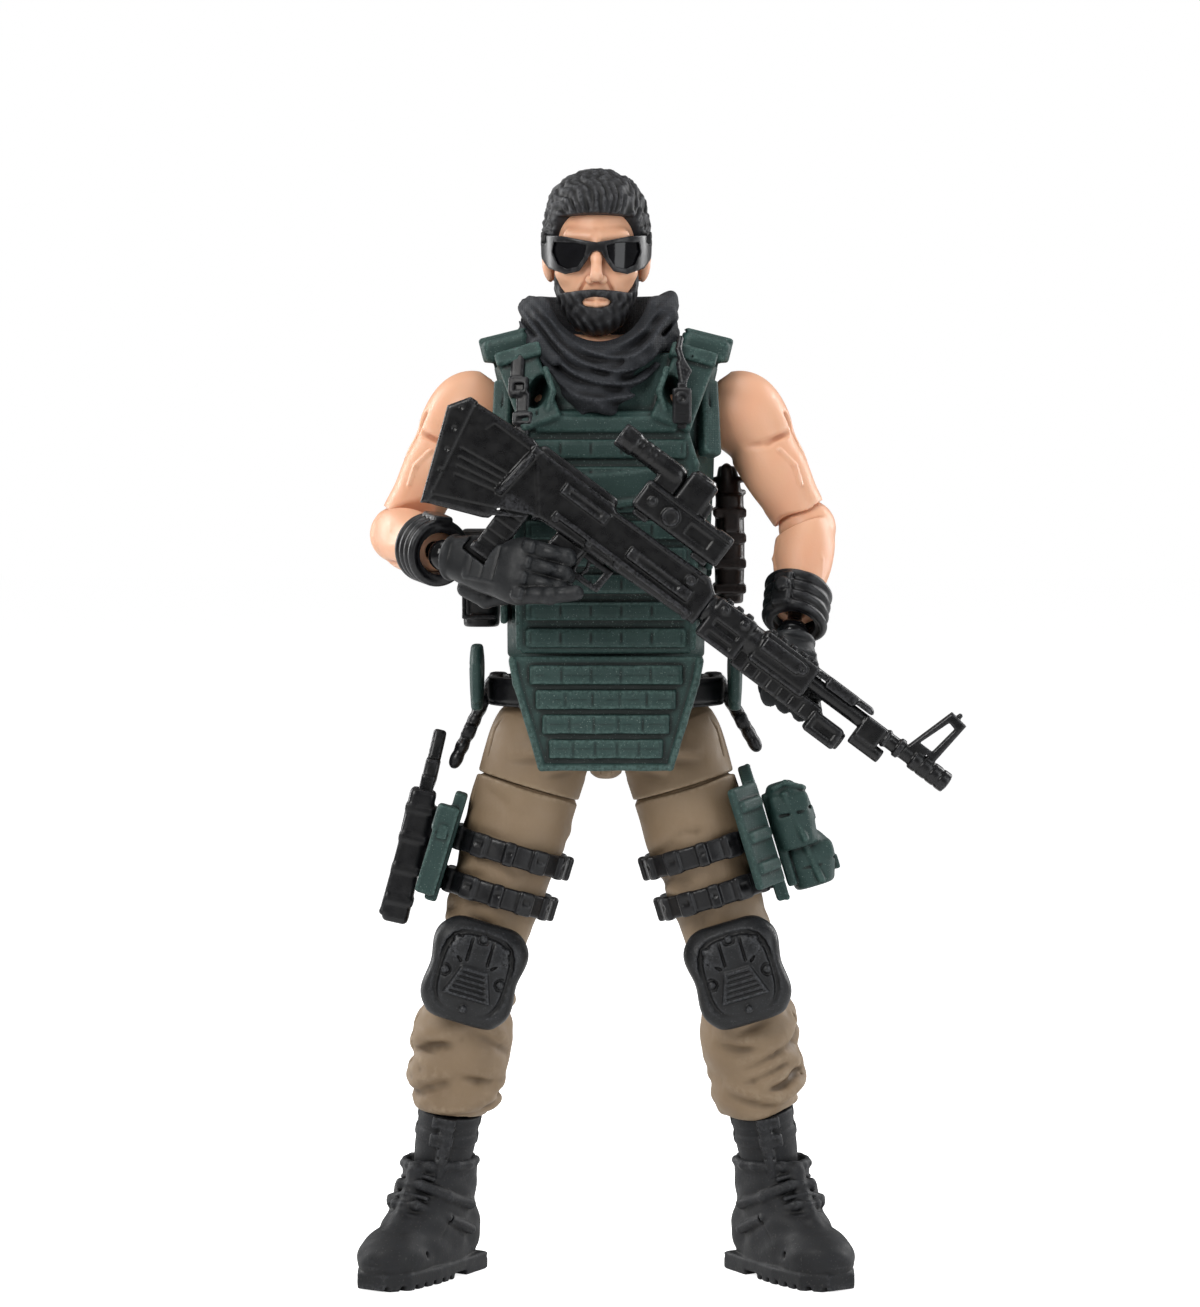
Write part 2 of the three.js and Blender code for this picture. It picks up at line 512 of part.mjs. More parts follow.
// The body's side view: butt, cheek piece, top cover, receiver, grip and back to the butt's toe.
const BODY_OUTLINE = [
  [0.3, 0.3], [1.7, 2.2], [8.4, 2.6], [9.0, 2.3], [17.8, 2.3], [18.4, 1.9], [28.8, 2.2], [30.2, 1.2], [30.2,
    -2.3],
  [18.2, -2.8], [17.6, -8.2], [14.6, -8.0], [15.2, -2.9], [12.8, -3.4], [8.8, -5.9], [3.6, -8.1],
];

function gunFrame() {
  const group = new THREE.Group();
  group.position.copy(GUN_ORIGIN);
  group.rotation.y = GUN_DROP;
  return group;
}

// The room the gun needs in a hand, open along the gun's own z, so it can be lifted out.
function gunEnvelope(atGrip) {
  const group = gunFrame();
  group.updateMatrix();
  const room = 2 * GAP;
  const spaces = atGrip
    ? [
      block([26, BODY_WIDTH + room, 16], point(15, 0, 5.0)),
      block([3.8 + room, GRIP_WIDTH + room, 16], point(16.4, 0, -0.6)),
      block([4.2 + room, 0.8 + room, 10], point(19.5, 0, -0.8)),
      block([MAGAZINE.length + 2 * room, MAGAZINE.width + room, 15],
        point(MAGAZINE.x, 0, MAGAZINE.bottom + 7 - GAP)),
    ]
    : [block([32, GUARD_WIDTH + 2 * room, 18], point(44, 0, 4.6))];
  return spaces.map((solid) => toSolid(toGeometry(solid).applyMatrix4(group.matrix)));
}

function makeGun() {
  const group = gunFrame();
  figure.add(group);
  const gripSides = [-1, 1].map((side) => block([6, 1, 5.2],
    point(16.4, side * (GRIP_WIDTH / 2 + 0.5), -5.8)));
  const guardRing = without(block([3.6, 0.8, 2.6], point(19.6, 0, -4.0)),
    block([2.4, 2, 1.5], point(19.5, 0, -4.0)));
  const well = block([MAGAZINE.length + 2 * GAP, MAGAZINE.width + 2 * GAP, 6],
    point(MAGAZINE.x, 0, MAGAZINE.top + GAP - 3));
  const coverRib = block([9.0, 1.6, 0.5], point(13.2, 0, 2.45));
  const lowerRail = block([15.5, BODY_WIDTH + 0.5, 0.8], point(21.6, 0, -1.6));
  const body = joined(without(plate(BODY_OUTLINE, BODY_WIDTH), ...gripSides), guardRing, coverRib,
    lowerRail);
  add(group, "gun_body", without(body, well), GUNMETAL);

  const gasTube = toSolid(toGeometry(loft([[38.6, 1.35, 1.5, 0, 0, 3], [30.6, 1.35, 1.5, 0, 0, 3]],
    12)).rotateY(Math.PI / 2));
  const guard = joined(
    gasTube,
    block([4.2, GUARD_WIDTH, 4.0], point(32.7, 0, -0.7)),
    block([6.2, GUARD_WIDTH, 3.4], point(38.8, 0, -0.1)),
    block([9.6, 1.8, 1.8], point(39.4, 0, -2.2)),
    block([3.6, 2.4, 2.2], point(45.4, 0, -2.8)),
  );
  const bore = rod(0.75 + GAP, point(30, 0, 0), point(48, 0, 0));
  add(group, "gun_handguard", largest(without(guard, bore)), GUNMETAL);

  const frameOutline = [[52.2, 0.5], [55.2, 0.5], [55.6, 5.3], [53.8, 5.6]];
  const frameWindow = [[53.0, 1.6], [54.6, 1.6], [55.0, 4.4], [54.1, 4.6]];
  const barrel = joined(
    rod(0.75, point(30.8, 0, 0), point(53.8, 0, 0)),
    rod(1.0, point(53.4, 0, 0), point(GUN_LENGTH, 0, 0)),
    rod(0.65, point(47.6, 0, -1.7), point(51.0, 0, -1.7)),
    block([2.4, 1.8, 2.2], point(48.9, 0, -0.4)),
    without(plate(frameOutline, 1.2), plate(frameWindow, 3)),
  );
  add(group, "gun_barrel", barrel, GUNMETAL);

  const scope = joined(
    block([7.2, 2.4, 2.3], point(17.9, 0, 7.8)),
    block([9.8, 3.0, 3.2], point(23.7, 0, 4.6)),
    block([3.0, 2.6, 4.0], point(23.1, 0, 7.3)),
    block([2.4, 1.8, 2.6], point(20.4, 0, 6.6)),
    ...[20.2, 26.8].map((x) => block([1.6, 2.2, 1.0], point(x, 0, 3.05))),
  );
  add(group, "gun_scope", scope, GUNMETAL);

  const magazineLength = MAGAZINE.top - MAGAZINE.bottom;
  const magazine = joined(
    block([MAGAZINE.length, MAGAZINE.width, magazineLength],
      point(MAGAZINE.x, 0, MAGAZINE.top - magazineLength / 2)),
    block([MAGAZINE.length + 0.3, MAGAZINE.width + 0.2, 0.8], point(MAGAZINE.x, 0, MAGAZINE.bottom)),
  );
  add(group, "gun_magazine", magazine, GUNMETAL);
}

// ---------- Legs ----------
function makeLeg(side) {
  const name = (what) => `${what}_${ARM_NAMES(side)}`;
  const mirror = new THREE.Group();
  mirror.scale.x = side;
  figure.add(mirror);
  const thighLength = HIP.distanceTo(KNEE);
  const shinLength = KNEE.distanceTo(ANKLE);

  const ballGroup = new THREE.Group();
  ballGroup.position.copy(HIP);
  mirror.add(ballGroup);
  const hipPeg = rod(1.0, point(0.6 - HIP.x, 0, 0), point(0, 0, 0));
  add(ballGroup, name("hip_ball"), joined(ball(HIP_BALL_R), hipPeg), PEG);

  const thigh = segment(mirror, HIP, KNEE);
  const capBody = joined(ball(HIP_R, undefined, undefined, 12), loft([
    [0.6, 4.9, 5.0], [-2.0, 5.0, 5.2, 0.1], [-THIGH_CUT, 5.0, 5.2, 0.1],
  ]));
  const floor = block([20, 20, 10], point(0, 0, -THIGH_CUT - 5));
  const mouths = [0, 1, 2].map((k) => inFrameOf(thigh, rod(
    1.0 + GAP, point(-0.2, 0, HIP.z + (k - 1) * 3.2), HIP, 1.2 + GAP)));
  const swivel = rod(1.6 + GAP, point(0, 0, -9), point(0, 0, -2.6), 1.6 + GAP, 12);
  const crotchSpace = inFrameOf(thigh, block([2.6, 14, 10], point(0.1, 0, HIP.z - 3)));
  add(thigh, name("thigh_cap"), largest(without(capBody, floor, ball(HIP_BALL_R + GAP), ...mouths, swivel,
    crotchSpace)), TROUSERS);

  const kneeZ = -thighLength;
  const upperPivot = kneeZ + KNEE_HALF_SPACING;
  const thighBody = joined(
    loft([
      [-THIGH_CUT - GAP, 5.0, 5.2, 0.1], [-8.0, 5.0, 5.2, 0], [-12.0, 4.6, 4.9], [-16.0, 4.2, 4.4], [-19.0,
        4.0, 4.1], [kneeZ + 0.5, 3.9, 3.9],
    ]),
    rod(1.6, point(0, 0, -6), point(0, 0, -3.0), 1.6, 12),
  );
  const kneeSlot = block([2.0 + 2 * GAP, 9, 4.4], point(0, 0.6, kneeZ + 1.6));
  const backCut = (z, tilt) => block([20, 12, 8], point(0, 6.4, z), new THREE.Euler(tilt, 0, 0));
  add(thigh, name("thigh"), largest(without(thighBody, kneeSlot, backCut(kneeZ + 0.1, degrees(42)))),
    TROUSERS);

  const linkBody = joined(
    rod(1.5, point(-1.0, 0, upperPivot), point(1.0, 0, upperPivot), 1.5, 12),
    rod(1.5, point(-1.0, 0, kneeZ - KNEE_HALF_SPACING), point(1.0, 0, kneeZ - KNEE_HALF_SPACING), 1.5, 12),
    block([2.0, 2.6, 2 * KNEE_HALF_SPACING], point(0, 0, kneeZ)),
    block([1.6, 3.4, 1.6], point(0, -2.8, kneeZ)),
  );
  add(thigh, name("knee_link"), linkBody, PEG);
  const padOuter = loft([
    [kneeZ + 5.0, 2.8, 1.0, 0, 0, 3], [kneeZ + 4.2, 3.9, 1.5, 0, -0.3, 3], [kneeZ, 4.2, 1.9, 0, -0.5,
      3], [kneeZ - 3.6, 4.0, 1.5, 0, -0.3, 3], [kneeZ - 4.8, 2.9, 1.0, 0, 0, 3],
  ], 14);
  const padHollow = block([12, 4, 14], point(0, 2.1 - 0.1, kneeZ));
  const kneePad = toSolid(toGeometry(without(padOuter, padHollow)).translate(0, -4.75, 0));
  const padSocket = block([1.6 + 2 * GAP, 1.2, 1.6 + 2 * GAP], point(0, -4.4, kneeZ));
  add(thigh, name("knee_pad"), without(kneePad, padSocket), GEAR);

  const shin = segment(mirror, KNEE, ANKLE);
  const cuffEnd = -(KNEE.z - BOOT_TOP) / ((KNEE.z - ANKLE.z) / shinLength) + 0.8;
  const shinBody = loft([
    [1.0, 3.9, 3.9], [-3.0, 4.2, 4.2], [-7.5, 4.8, 4.9, 0, 0.3], [-11.0, 4.5, 4.6, 0, 0.3], [cuffEnd + 0.8,
      4.3, 4.5, 0, 0.2], [cuffEnd, 3.8, 4.0, 0, 0.2],
  ]);
  // The shin's top is squared off to the thigh, with its own slot and its cut behind the knee.
  thigh.updateMatrix();
  const kneeCuts = joined(
    block([2.0 + 2 * GAP, 9, 5.4], point(0, 0.6, kneeZ - 1.6)),
    block([14, 14, 4], point(0, 0, kneeZ + 1.5)),
    backCut(kneeZ - 0.1, degrees(-42)),
  );
  const shinTop = inFrameOf(shin, toSolid(toGeometry(kneeCuts).applyMatrix4(thigh.matrix)));
  const bootBore = rod(1.8 + GAP, point(0, 0, cuffEnd - 1), point(0, 0, cuffEnd + 3.6), 1.8 + GAP, 12);
  add(shin, name("shin"), largest(without(shinBody, shinTop, bootBore)), TROUSERS);

  const shaftEnd = -shinLength + 1.5;
  const shaftBody = joined(
    rod(1.8, point(0, 0, cuffEnd - 1.2), point(0, 0, cuffEnd + 3.2), 1.8, 12),
    loft([[cuffEnd - GAP, 3.1, 3.5, 0, 0.2], [-15.0, 2.9, 3.3, 0, 0.2], [shaftEnd, 2.7, 2.9]]),
  );
  const ankleSlot = block([1.8 + 4 * GAP, 6, 3.6], point(0, 0, -shinLength + 1.1));
  add(shin, name("boot_shaft"), largest(without(shaftBody, ankleSlot,
    ball(1.5 + GAP, point(0, 0, -shinLength)))), BOOT);

  makeBoot(mirror, name);
}

function makeBoot(mirror, name) {
  const foot = new THREE.Group();
  foot.position.copy(ANKLE);
  foot.rotation.z = TOE_OUT;
  mirror.add(foot);
  const ankleBall = joined(ball(1.5), block([1.8, 1.6, 2.0], point(0, 0, 1.2)));
  add(foot, name("ankle_ball"), ankleBall, PEG);

  const floorZ = FLOOR - ANKLE.z;
  const upper = loft([
    [0.5, 3.0, 3.4, 0, 0.0, 2.3], [-1.7, 3.0, 4.3, 0, -0.6, 2.3], [-3.7, 3.1, 6.0, 0, -2.1, 2.4], [-5.9,
      3.3, 7.3, 0, -3.4, 2.6], [-7.7, 3.3, 7.5, 0, -3.6, 2.8],
  ], 16);
  const sole = plate2([
    [-2.7, 4.2], [2.7, 4.2], [3.1, 0], [3.5, -4.8], [3.1, -9.0], [1.5, -11.3], [-1.3, -11.3], [-3.0,
      -9.0], [-3.4, -4.8], [-3.0, 0],
  ], floorZ, 1.9);
  const socket = ball(1.5 + GAP);
  const mouth = loft([[2.0, 2.6, 3.2], [-0.9, 1.9, 2.1]], 12);
  const toeSlot = block([2.6 + 2 * GAP, 3.2, 3.2], point(0, 0, 1.0));
  add(foot, name("boot"), largest(without(joined(upper, sole), socket, mouth, toeSlot)), BOOT);
}

// An outline of [x, y] points, raised from floorZ by height.
function plate2(outline, floorZ, height) {
  const shape = new THREE.Shape(outline.map(([x, y]) => new THREE.Vector2(x, y)));
  const geometry = new THREE.ExtrudeGeometry(shape, { depth: height, bevelEnabled: false });
  return toSolid(geometry.translate(0, 0, floorZ));
}

// ---------- Thigh rigs ----------
function strap(z, halfX, halfY, height) {
  const outer = loft([[z + height / 2, halfX + 0.9, halfY + 0.9],
    [z - height / 2, halfX + 0.9, halfY + 0.9]], 18);
  const inner = loft([[z + height, halfX, halfY], [z - height, halfX, halfY]], 18);
  return without(outer, inner);
}

function makeRigs() {
  const STRAPS = [{ z: -10.8, halfX: 5.15, halfY: 5.35 }, { z: -14.9, halfX: 4.85, halfY: 5.05 }];
  const STRAP_HEIGHT = 2.2;
  const thighSpace = () => loft([[-3, 5.35, 5.55, 0.1], [-8.0, 5.35, 5.55, 0], [-12.0, 4.95, 5.25],
    [-16.0, 4.55, 4.8], [-21, 4.4, 4.5]]);
  const rig = (side) => {
    const mirror = new THREE.Group();
    mirror.scale.x = side;
    figure.add(mirror);
    return segment(mirror, HIP, KNEE);
  };

  const right = rig(-1);
  const loops = STRAPS.map(({ z, halfX, halfY }) => strap(z, halfX, halfY, STRAP_HEIGHT));
  const panelRight = without(block([1.2, 5.6, 10.6], point(5.9, -0.6, -12.0)), thighSpace());
  const frontPouch = block([1.9, 3.4, 8.6], point(6.6, -4.2, -12.4));
  add(right, "holster_panel_right", largest(joined(...loops, panelRight,
    without(frontPouch, thighSpace()))), VEST);
  const holsterAxis = new THREE.Euler(0, degrees(4), 0);
  const holsterBody = block([2.6, 4.4, 13.0], point(9.0, 0.4, -13.9), holsterAxis);
  const pistolSpace = block([1.5 + 0.5, 3.2, 13], point(9.0, 0.4, -11.7), holsterAxis);
  add(right, "holster_right", without(holsterBody, pistolSpace, frontPouchSpace()), GEAR);
  const pistol = joined(
    block([1.4, 2.4, 11.2], point(9.0, 0.4, -11.6), holsterAxis),
    block([1.3, 2.2, 5.4], point(9.4, 0.9, -4.4), new THREE.Euler(degrees(-14), degrees(4), 0)),
  );
  add(right, "pistol", pistol, GUNMETAL);

  const left = rig(1);
  const loopsLeft = STRAPS.map(({ z, halfX, halfY }) => strap(z, halfX, halfY, STRAP_HEIGHT));
  const panelLeft = without(plateSide([[-3.6, -5.4], [0.0, -3.9], [3.8, -6.6], [3.4, -16.0], [-3.0, -17.4],
    [-4.0, -6.4]], 1.2, 6.0), thighSpace());
  add(left, "pouch_panel_left", largest(joined(...loopsLeft, panelLeft)), VEST);
  const pouches = joined(
    loft([[-4.2, 1.2, 1.8, 0, -0.4, 3], [-5.6, 1.9, 2.6, 0.2, -0.4, 3], [-10.6, 2.0, 2.7, 0.2, -0.4, 3]],
      12),
    loft([[-9.4, 1.6, 2.2, 0.6, 0.9, 3], [-11.0, 2.3, 2.8, 0.9, 0.9, 3], [-14.6, 2.0, 2.6, 0.6, 0.9, 3]],
      12),
  );
  add(left, "drop_pouch_left", pouches, VEST).position.set(8.75, 0, -2.4);
}

const frontPouchSpace = () => block([1.9 + 2 * GAP, 3.4 + 2 * GAP, 9.4], point(6.6, -4.2, -12.4));

// An outline of [y, z] points as a plate that faces +x, from x - thickness / 2 to x + thickness / 2.
function plateSide(outline, thickness, x) {
  const shape = new THREE.Shape(outline.map(([y, z]) => new THREE.Vector2(y, z)));
  const geometry = new THREE.ExtrudeGeometry(shape, { depth: thickness, bevelEnabled: false });
  geometry.rotateX(Math.PI / 2).rotateZ(Math.PI / 2);
  return toSolid(geometry.translate(x - thickness / 2, 0, 0));
}

makePelvis();
makeWaistPeg();
makeTorso();
makeGroinFlap();
makeNeckPost();
makeHead();
makeArm(1, LEFT_ARM);
makeArm(-1, RIGHT_ARM);
makeGun();
makeLeg(1);
makeLeg(-1);
makeRigs();

// The origin is at the middle of the underside of the whole object's box.
const root = new THREE.Group();
root.add(figure);
figure.updateMatrixWorld(true);
const box = new THREE.Box3().setFromObject(figure, true);
const middle = box.getCenter(new THREE.Vector3());
figure.position.set(-middle.x, -middle.y, -box.min.z);

export default root;
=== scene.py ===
"""Looks of a poseable soldier figure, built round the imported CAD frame.

Each visible piece is sculpted as a signed distance field on a grid, in millimetres, in the frame of the
limb or part it belongs to, and then meshed and carried to the figure's own frame in metres.
"""
import json
import math
import bpy
import numpy as np
import openvdb
from mathutils import Euler, Matrix, Vector


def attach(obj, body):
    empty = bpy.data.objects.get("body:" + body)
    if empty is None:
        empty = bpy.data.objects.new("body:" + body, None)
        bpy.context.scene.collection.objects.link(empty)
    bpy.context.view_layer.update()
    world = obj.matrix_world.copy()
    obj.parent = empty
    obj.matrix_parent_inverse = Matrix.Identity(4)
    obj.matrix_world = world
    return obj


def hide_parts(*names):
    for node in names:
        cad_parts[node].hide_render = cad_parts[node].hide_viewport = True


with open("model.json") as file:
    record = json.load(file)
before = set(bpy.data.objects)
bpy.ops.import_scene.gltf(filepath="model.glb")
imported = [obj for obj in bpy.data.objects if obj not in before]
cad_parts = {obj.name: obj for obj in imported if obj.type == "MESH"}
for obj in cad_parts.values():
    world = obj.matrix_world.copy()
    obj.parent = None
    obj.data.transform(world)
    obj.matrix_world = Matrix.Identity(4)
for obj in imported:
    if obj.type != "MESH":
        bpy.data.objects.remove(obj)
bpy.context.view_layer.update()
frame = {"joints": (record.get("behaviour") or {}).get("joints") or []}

MM = 0.001
FINE = 1.0  # grid spacing is multiplied by this

# ---------- Frames, from the joints ----------
JOINTS = {j["name"]: j for j in frame["joints"]}


def joint_at(name):
    return Vector(JOINTS[name]["pos_m"]) / MM


HIPS = {side: joint_at(f"hip_swing_{side}") for side in ("left", "right")}
CENTRE = (HIPS["left"] + HIPS["right"]) / 2
CENTRE.z -= 49.5  # sculpting coordinates put the hip joints 49.5 up and the boots' soles at FLOOR
FLOOR = -CENTRE.z


def place(name):
    """A joint's centre in sculpting coordinates."""
    return joint_at(name) - CENTRE


def facing(origin, low, front):
    """A frame at origin whose -z runs to low and whose -y is as near front as it can be."""
    up = (origin - low).normalized()
    forward = (front - up * front.dot(up)).normalized()
    rows = Matrix((up.cross(forward), -forward, up)).transposed()
    return Matrix.Translation(origin) @ rows.to_4x4()


FRONT = Vector((0, -1, 0))
WORLD = Matrix.Identity(4)


# ---------- Shapes: (distance function, low corner, high corner) ----------
def smooth_min(a, b, k):
    if k <= 0:
        return np.minimum(a, b)
    h = np.clip(0.5 + 0.5 * (b - a) / k, 0, 1)
    return b + (a - b) * h - k * h * (1 - h)


def around(points, radius):
    stack = np.array([list(p) for p in points], float)
    return stack.min(0) - radius, stack.max(0) + radius


def ellipsoid(centre, radii, turn=None):
    """Turn is an Euler in degrees."""
    c, r = np.array(centre, float), np.array(radii, float)
    spin = rotation(turn)

    def distance(x, y, z):
        u, v, w = spun(x - c[0], y - c[1], z - c[2], spin)
        k0 = np.sqrt((u / r[0]) ** 2 + (v / r[1]) ** 2 + (w / r[2]) ** 2)
        k1 = np.sqrt((u / r[0] ** 2) ** 2 + (v / r[1] ** 2) ** 2 + (w / r[2] ** 2) ** 2)
        return k0 * (k0 - 1) / np.maximum(k1, 1e-6)

    reach = r.max() if turn else r
    return distance, c - reach, c + reach


def rotation(turn):
    if turn is None:
        return None
    return np.array(Euler([math.radians(a) for a in turn]).to_matrix())


def spun(x, y, z, spin):
    """Coordinates seen from a box turned by spin."""
    if spin is None:
        return x, y, z
    return tuple(spin[0, i] * x + spin[1, i] * y + spin[2, i] * z for i in range(3))


def ball(centre, radius):
    c = np.array(centre, float)
    return (lambda x, y, z: np.sqrt((x - c[0]) ** 2 + (y - c[1]) ** 2 + (z - c[2]) ** 2) - radius,
            c - radius, c + radius)


def box(centre, size, soft=0.15, turn=None):
    """A box of the full size given, with edges rounded by soft."""
    c, half = np.array(centre, float), np.array(size, float) / 2
    soft = min(soft, half.min())
    spin = rotation(turn)

    def distance(x, y, z):
        u, v, w = spun(x - c[0], y - c[1], z - c[2], spin)
        qx, qy, qz = (np.abs(a) - (h - soft) for a, h in zip((u, v, w), half))
        outside = np.sqrt(np.maximum(qx, 0) ** 2 + np.maximum(qy, 0) ** 2 + np.maximum(qz, 0) ** 2)
        return outside + np.minimum(np.maximum(qx, np.maximum(qy, qz)), 0) - soft

    reach = np.linalg.norm(half) if turn else half
    return distance, c - reach, c + reach


def rod(a, b, radius, end_radius=None):
    """A round-ended rod, tapering from radius to end_radius."""
    a, b = np.array(a, float), np.array(b, float)
    last = radius if end_radius is None else end_radius
    along = b - a
    square = max(float(along @ along), 1e-9)

    def distance(x, y, z):
        h = np.clip(((x - a[0]) * along[0] + (y - a[1]) * along[1] + (z - a[2]) * along[2]) / square, 0, 1)
        off = [(p - a[i] - along[i] * h) ** 2 for i, p in enumerate((x, y, z))]
        gap = np.sqrt(off[0] + off[1] + off[2])
        return gap - (radius + (last - radius) * h)

    return (distance, *around((a, b), max(radius, last)))


def disc(a, b, radius, soft=0.12):
    """A flat-ended cylinder from a to b."""
    a, b = np.array(a, float), np.array(b, float)
    length = np.linalg.norm(b - a)
    along = (b - a) / length
    middle = (a + b) / 2

    def distance(x, y, z):
        t = (x - middle[0]) * along[0] + (y - middle[1]) * along[1] + (z - middle[2]) * along[2]
        square = (x - middle[0]) ** 2 + (y - middle[1]) ** 2 + (z - middle[2]) ** 2
        side = np.sqrt(np.maximum(square - t * t, 0)) - (radius - soft)
        end = np.abs(t) - (length / 2 - soft)
        outside = np.sqrt(np.maximum(side, 0) ** 2 + np.maximum(end, 0) ** 2)
        return outside + np.minimum(np.maximum(side, end), 0) - soft

    return (distance, *around((a, b), radius))


def ring(centre, axis, radius, thickness):
    """A round hoop."""
    c, n = np.array(centre, float), np.array(axis, float) / np.linalg.norm(axis)

    def distance(x, y, z):
        t = (x - c[0]) * n[0] + (y - c[1]) * n[1] + (z - c[2]) * n[2]
        square = (x - c[0]) ** 2 + (y - c[1]) ** 2 + (z - c[2]) ** 2
        return np.sqrt((np.sqrt(np.maximum(square - t * t, 0)) - radius) ** 2 + t * t) - thickness

    return distance, c - radius - thickness, c + radius + thickness


def smooth_rows(rows, count=60):
    """Rows of [z, ...] in falling z, resampled along a smooth curve."""
    table = np.array(rows, float)[::-1]
    z = table[:, 0]
    slopes = np.gradient(table, z, axis=0)
    at = np.linspace(z[0], z[-1], count)
    i = np.clip(np.searchsorted(z, at) - 1, 0, len(z) - 2)
    width = (z[i + 1] - z[i])[:, None]
    t = ((at - z[i]) / (z[i + 1] - z[i]))[:, None]
    curve = ((1 + 2 * t) * (1 - t) ** 2 * table[i] + t * (1 - t) ** 2 * width * slopes[i]
             + t * t * (3 - 2 * t) * table[i + 1] + t * t * (t - 1) * width * slopes[i + 1])
    curve[:, 0] = at
    return curve


def limb(rows, square=2.0, soft=0.3, grow=0.0):
    """A body of changing section, from the top down.

    Each row is [z, half width, half depth, shift x, shift y].
    """
    full = [list(r) + [0] * (5 - len(r)) for r in rows]
    curve = smooth_rows(full)
    z_low, z_high = curve[0, 0], curve[-1, 0]

    def distance(x, y, z):
        flat = z.ravel()
        hx, hy, cx, cy = (np.interp(flat, curve[:, 0], curve[:, k]).reshape(z.shape) for k in range(1, 5))
        hx, hy = hx + grow, hy + grow
        u, v = np.abs(x - cx) / hx, np.abs(y - cy) / hy
        norm = (u ** square + v ** square) ** (1 / square)
        side = (norm - 1) * np.minimum(hx, hy)
        end = np.maximum(z - z_high, z_low - z) - grow
        return -smooth_min(-side, -end, soft)

    wide = np.abs(curve[:, 3]).max() + curve[:, 1].max() + grow
    deep = np.abs(curve[:, 4]).max() + curve[:, 2].max() + grow
    return distance, np.array([-wide, -deep, z_low - grow]), np.array([wide, deep, z_high + grow])


def outline_distance(outline, u, v):
    """Signed distance to a closed outline in a plane, negative inside."""
    points = np.array(outline, float)
    best, inside = None, None
    for a, b in zip(points, np.roll(points, -1, axis=0)):
        edge = b - a
        h = np.clip(((u - a[0]) * edge[0] + (v - a[1]) * edge[1]) / (edge @ edge), 0, 1)
        gap = (u - a[0] - edge[0] * h) ** 2 + (v - a[1] - edge[1] * h) ** 2
        best = gap if best is None else np.minimum(best, gap)
        crosses = ((a[1] > v) != (b[1] > v)) & (u < edge[0] * (v - a[1]) / (edge[1] or 1e-9) + a[0])
        inside = crosses if inside is None else inside ^ crosses
    return np.where(inside, -1, 1) * np.sqrt(best)


def slab(outline, near, far, soft=0.12, plane="xz"):
    """An outline in a plane, given depth along the third axis from near to far, with rounded edges."""
    points = np.array(outline, float)
    order = {"xz": (0, 2, 1), "xy": (0, 1, 2), "yz": (1, 2, 0)}[plane]

    def distance(*at):
        face = outline_distance(points, at[order[0]], at[order[1]]) + soft
        depth = np.abs(at[order[2]] - (near + far) / 2) - (abs(far - near) / 2 - soft)
        outside = np.sqrt(np.maximum(face, 0) ** 2 + np.maximum(depth, 0) ** 2)
        return outside + np.minimum(np.maximum(face, depth), 0) - soft

    low, high = np.zeros(3), np.zeros(3)
    for k in range(2):
        low[order[k]], high[order[k]] = points[:, k].min(), points[:, k].max()
    low[order[2]], high[order[2]] = min(near, far), max(near, far)
    return distance, low, high


# ---------- The grid ----------
CRUMB = 0.06  # a loose bit with a smaller share of a piece's points is dropped
JUMPS = 3  # how often each round follows the groups' numbers


def without_crumbs(points, faces, relief):
    """The mesh without its small loose bits. A cut leaves them, such as the tip of a finger."""
    group = np.arange(len(points))
    while True:
        before = group.copy()
        lowest = np.repeat(group[faces].min(1), 4)
        np.minimum.at(group, before[faces].ravel(), lowest)
        for _ in range(JUMPS):
            group = group[group]
        if np.array_equal(group, before):
            break
    counts = np.bincount(group, minlength=len(points))
    keep = counts[group] >= CRUMB * len(points)
    fresh = np.cumsum(keep) - 1
    return points[keep], fresh[faces[keep[faces[:, 0]]]], relief[keep]


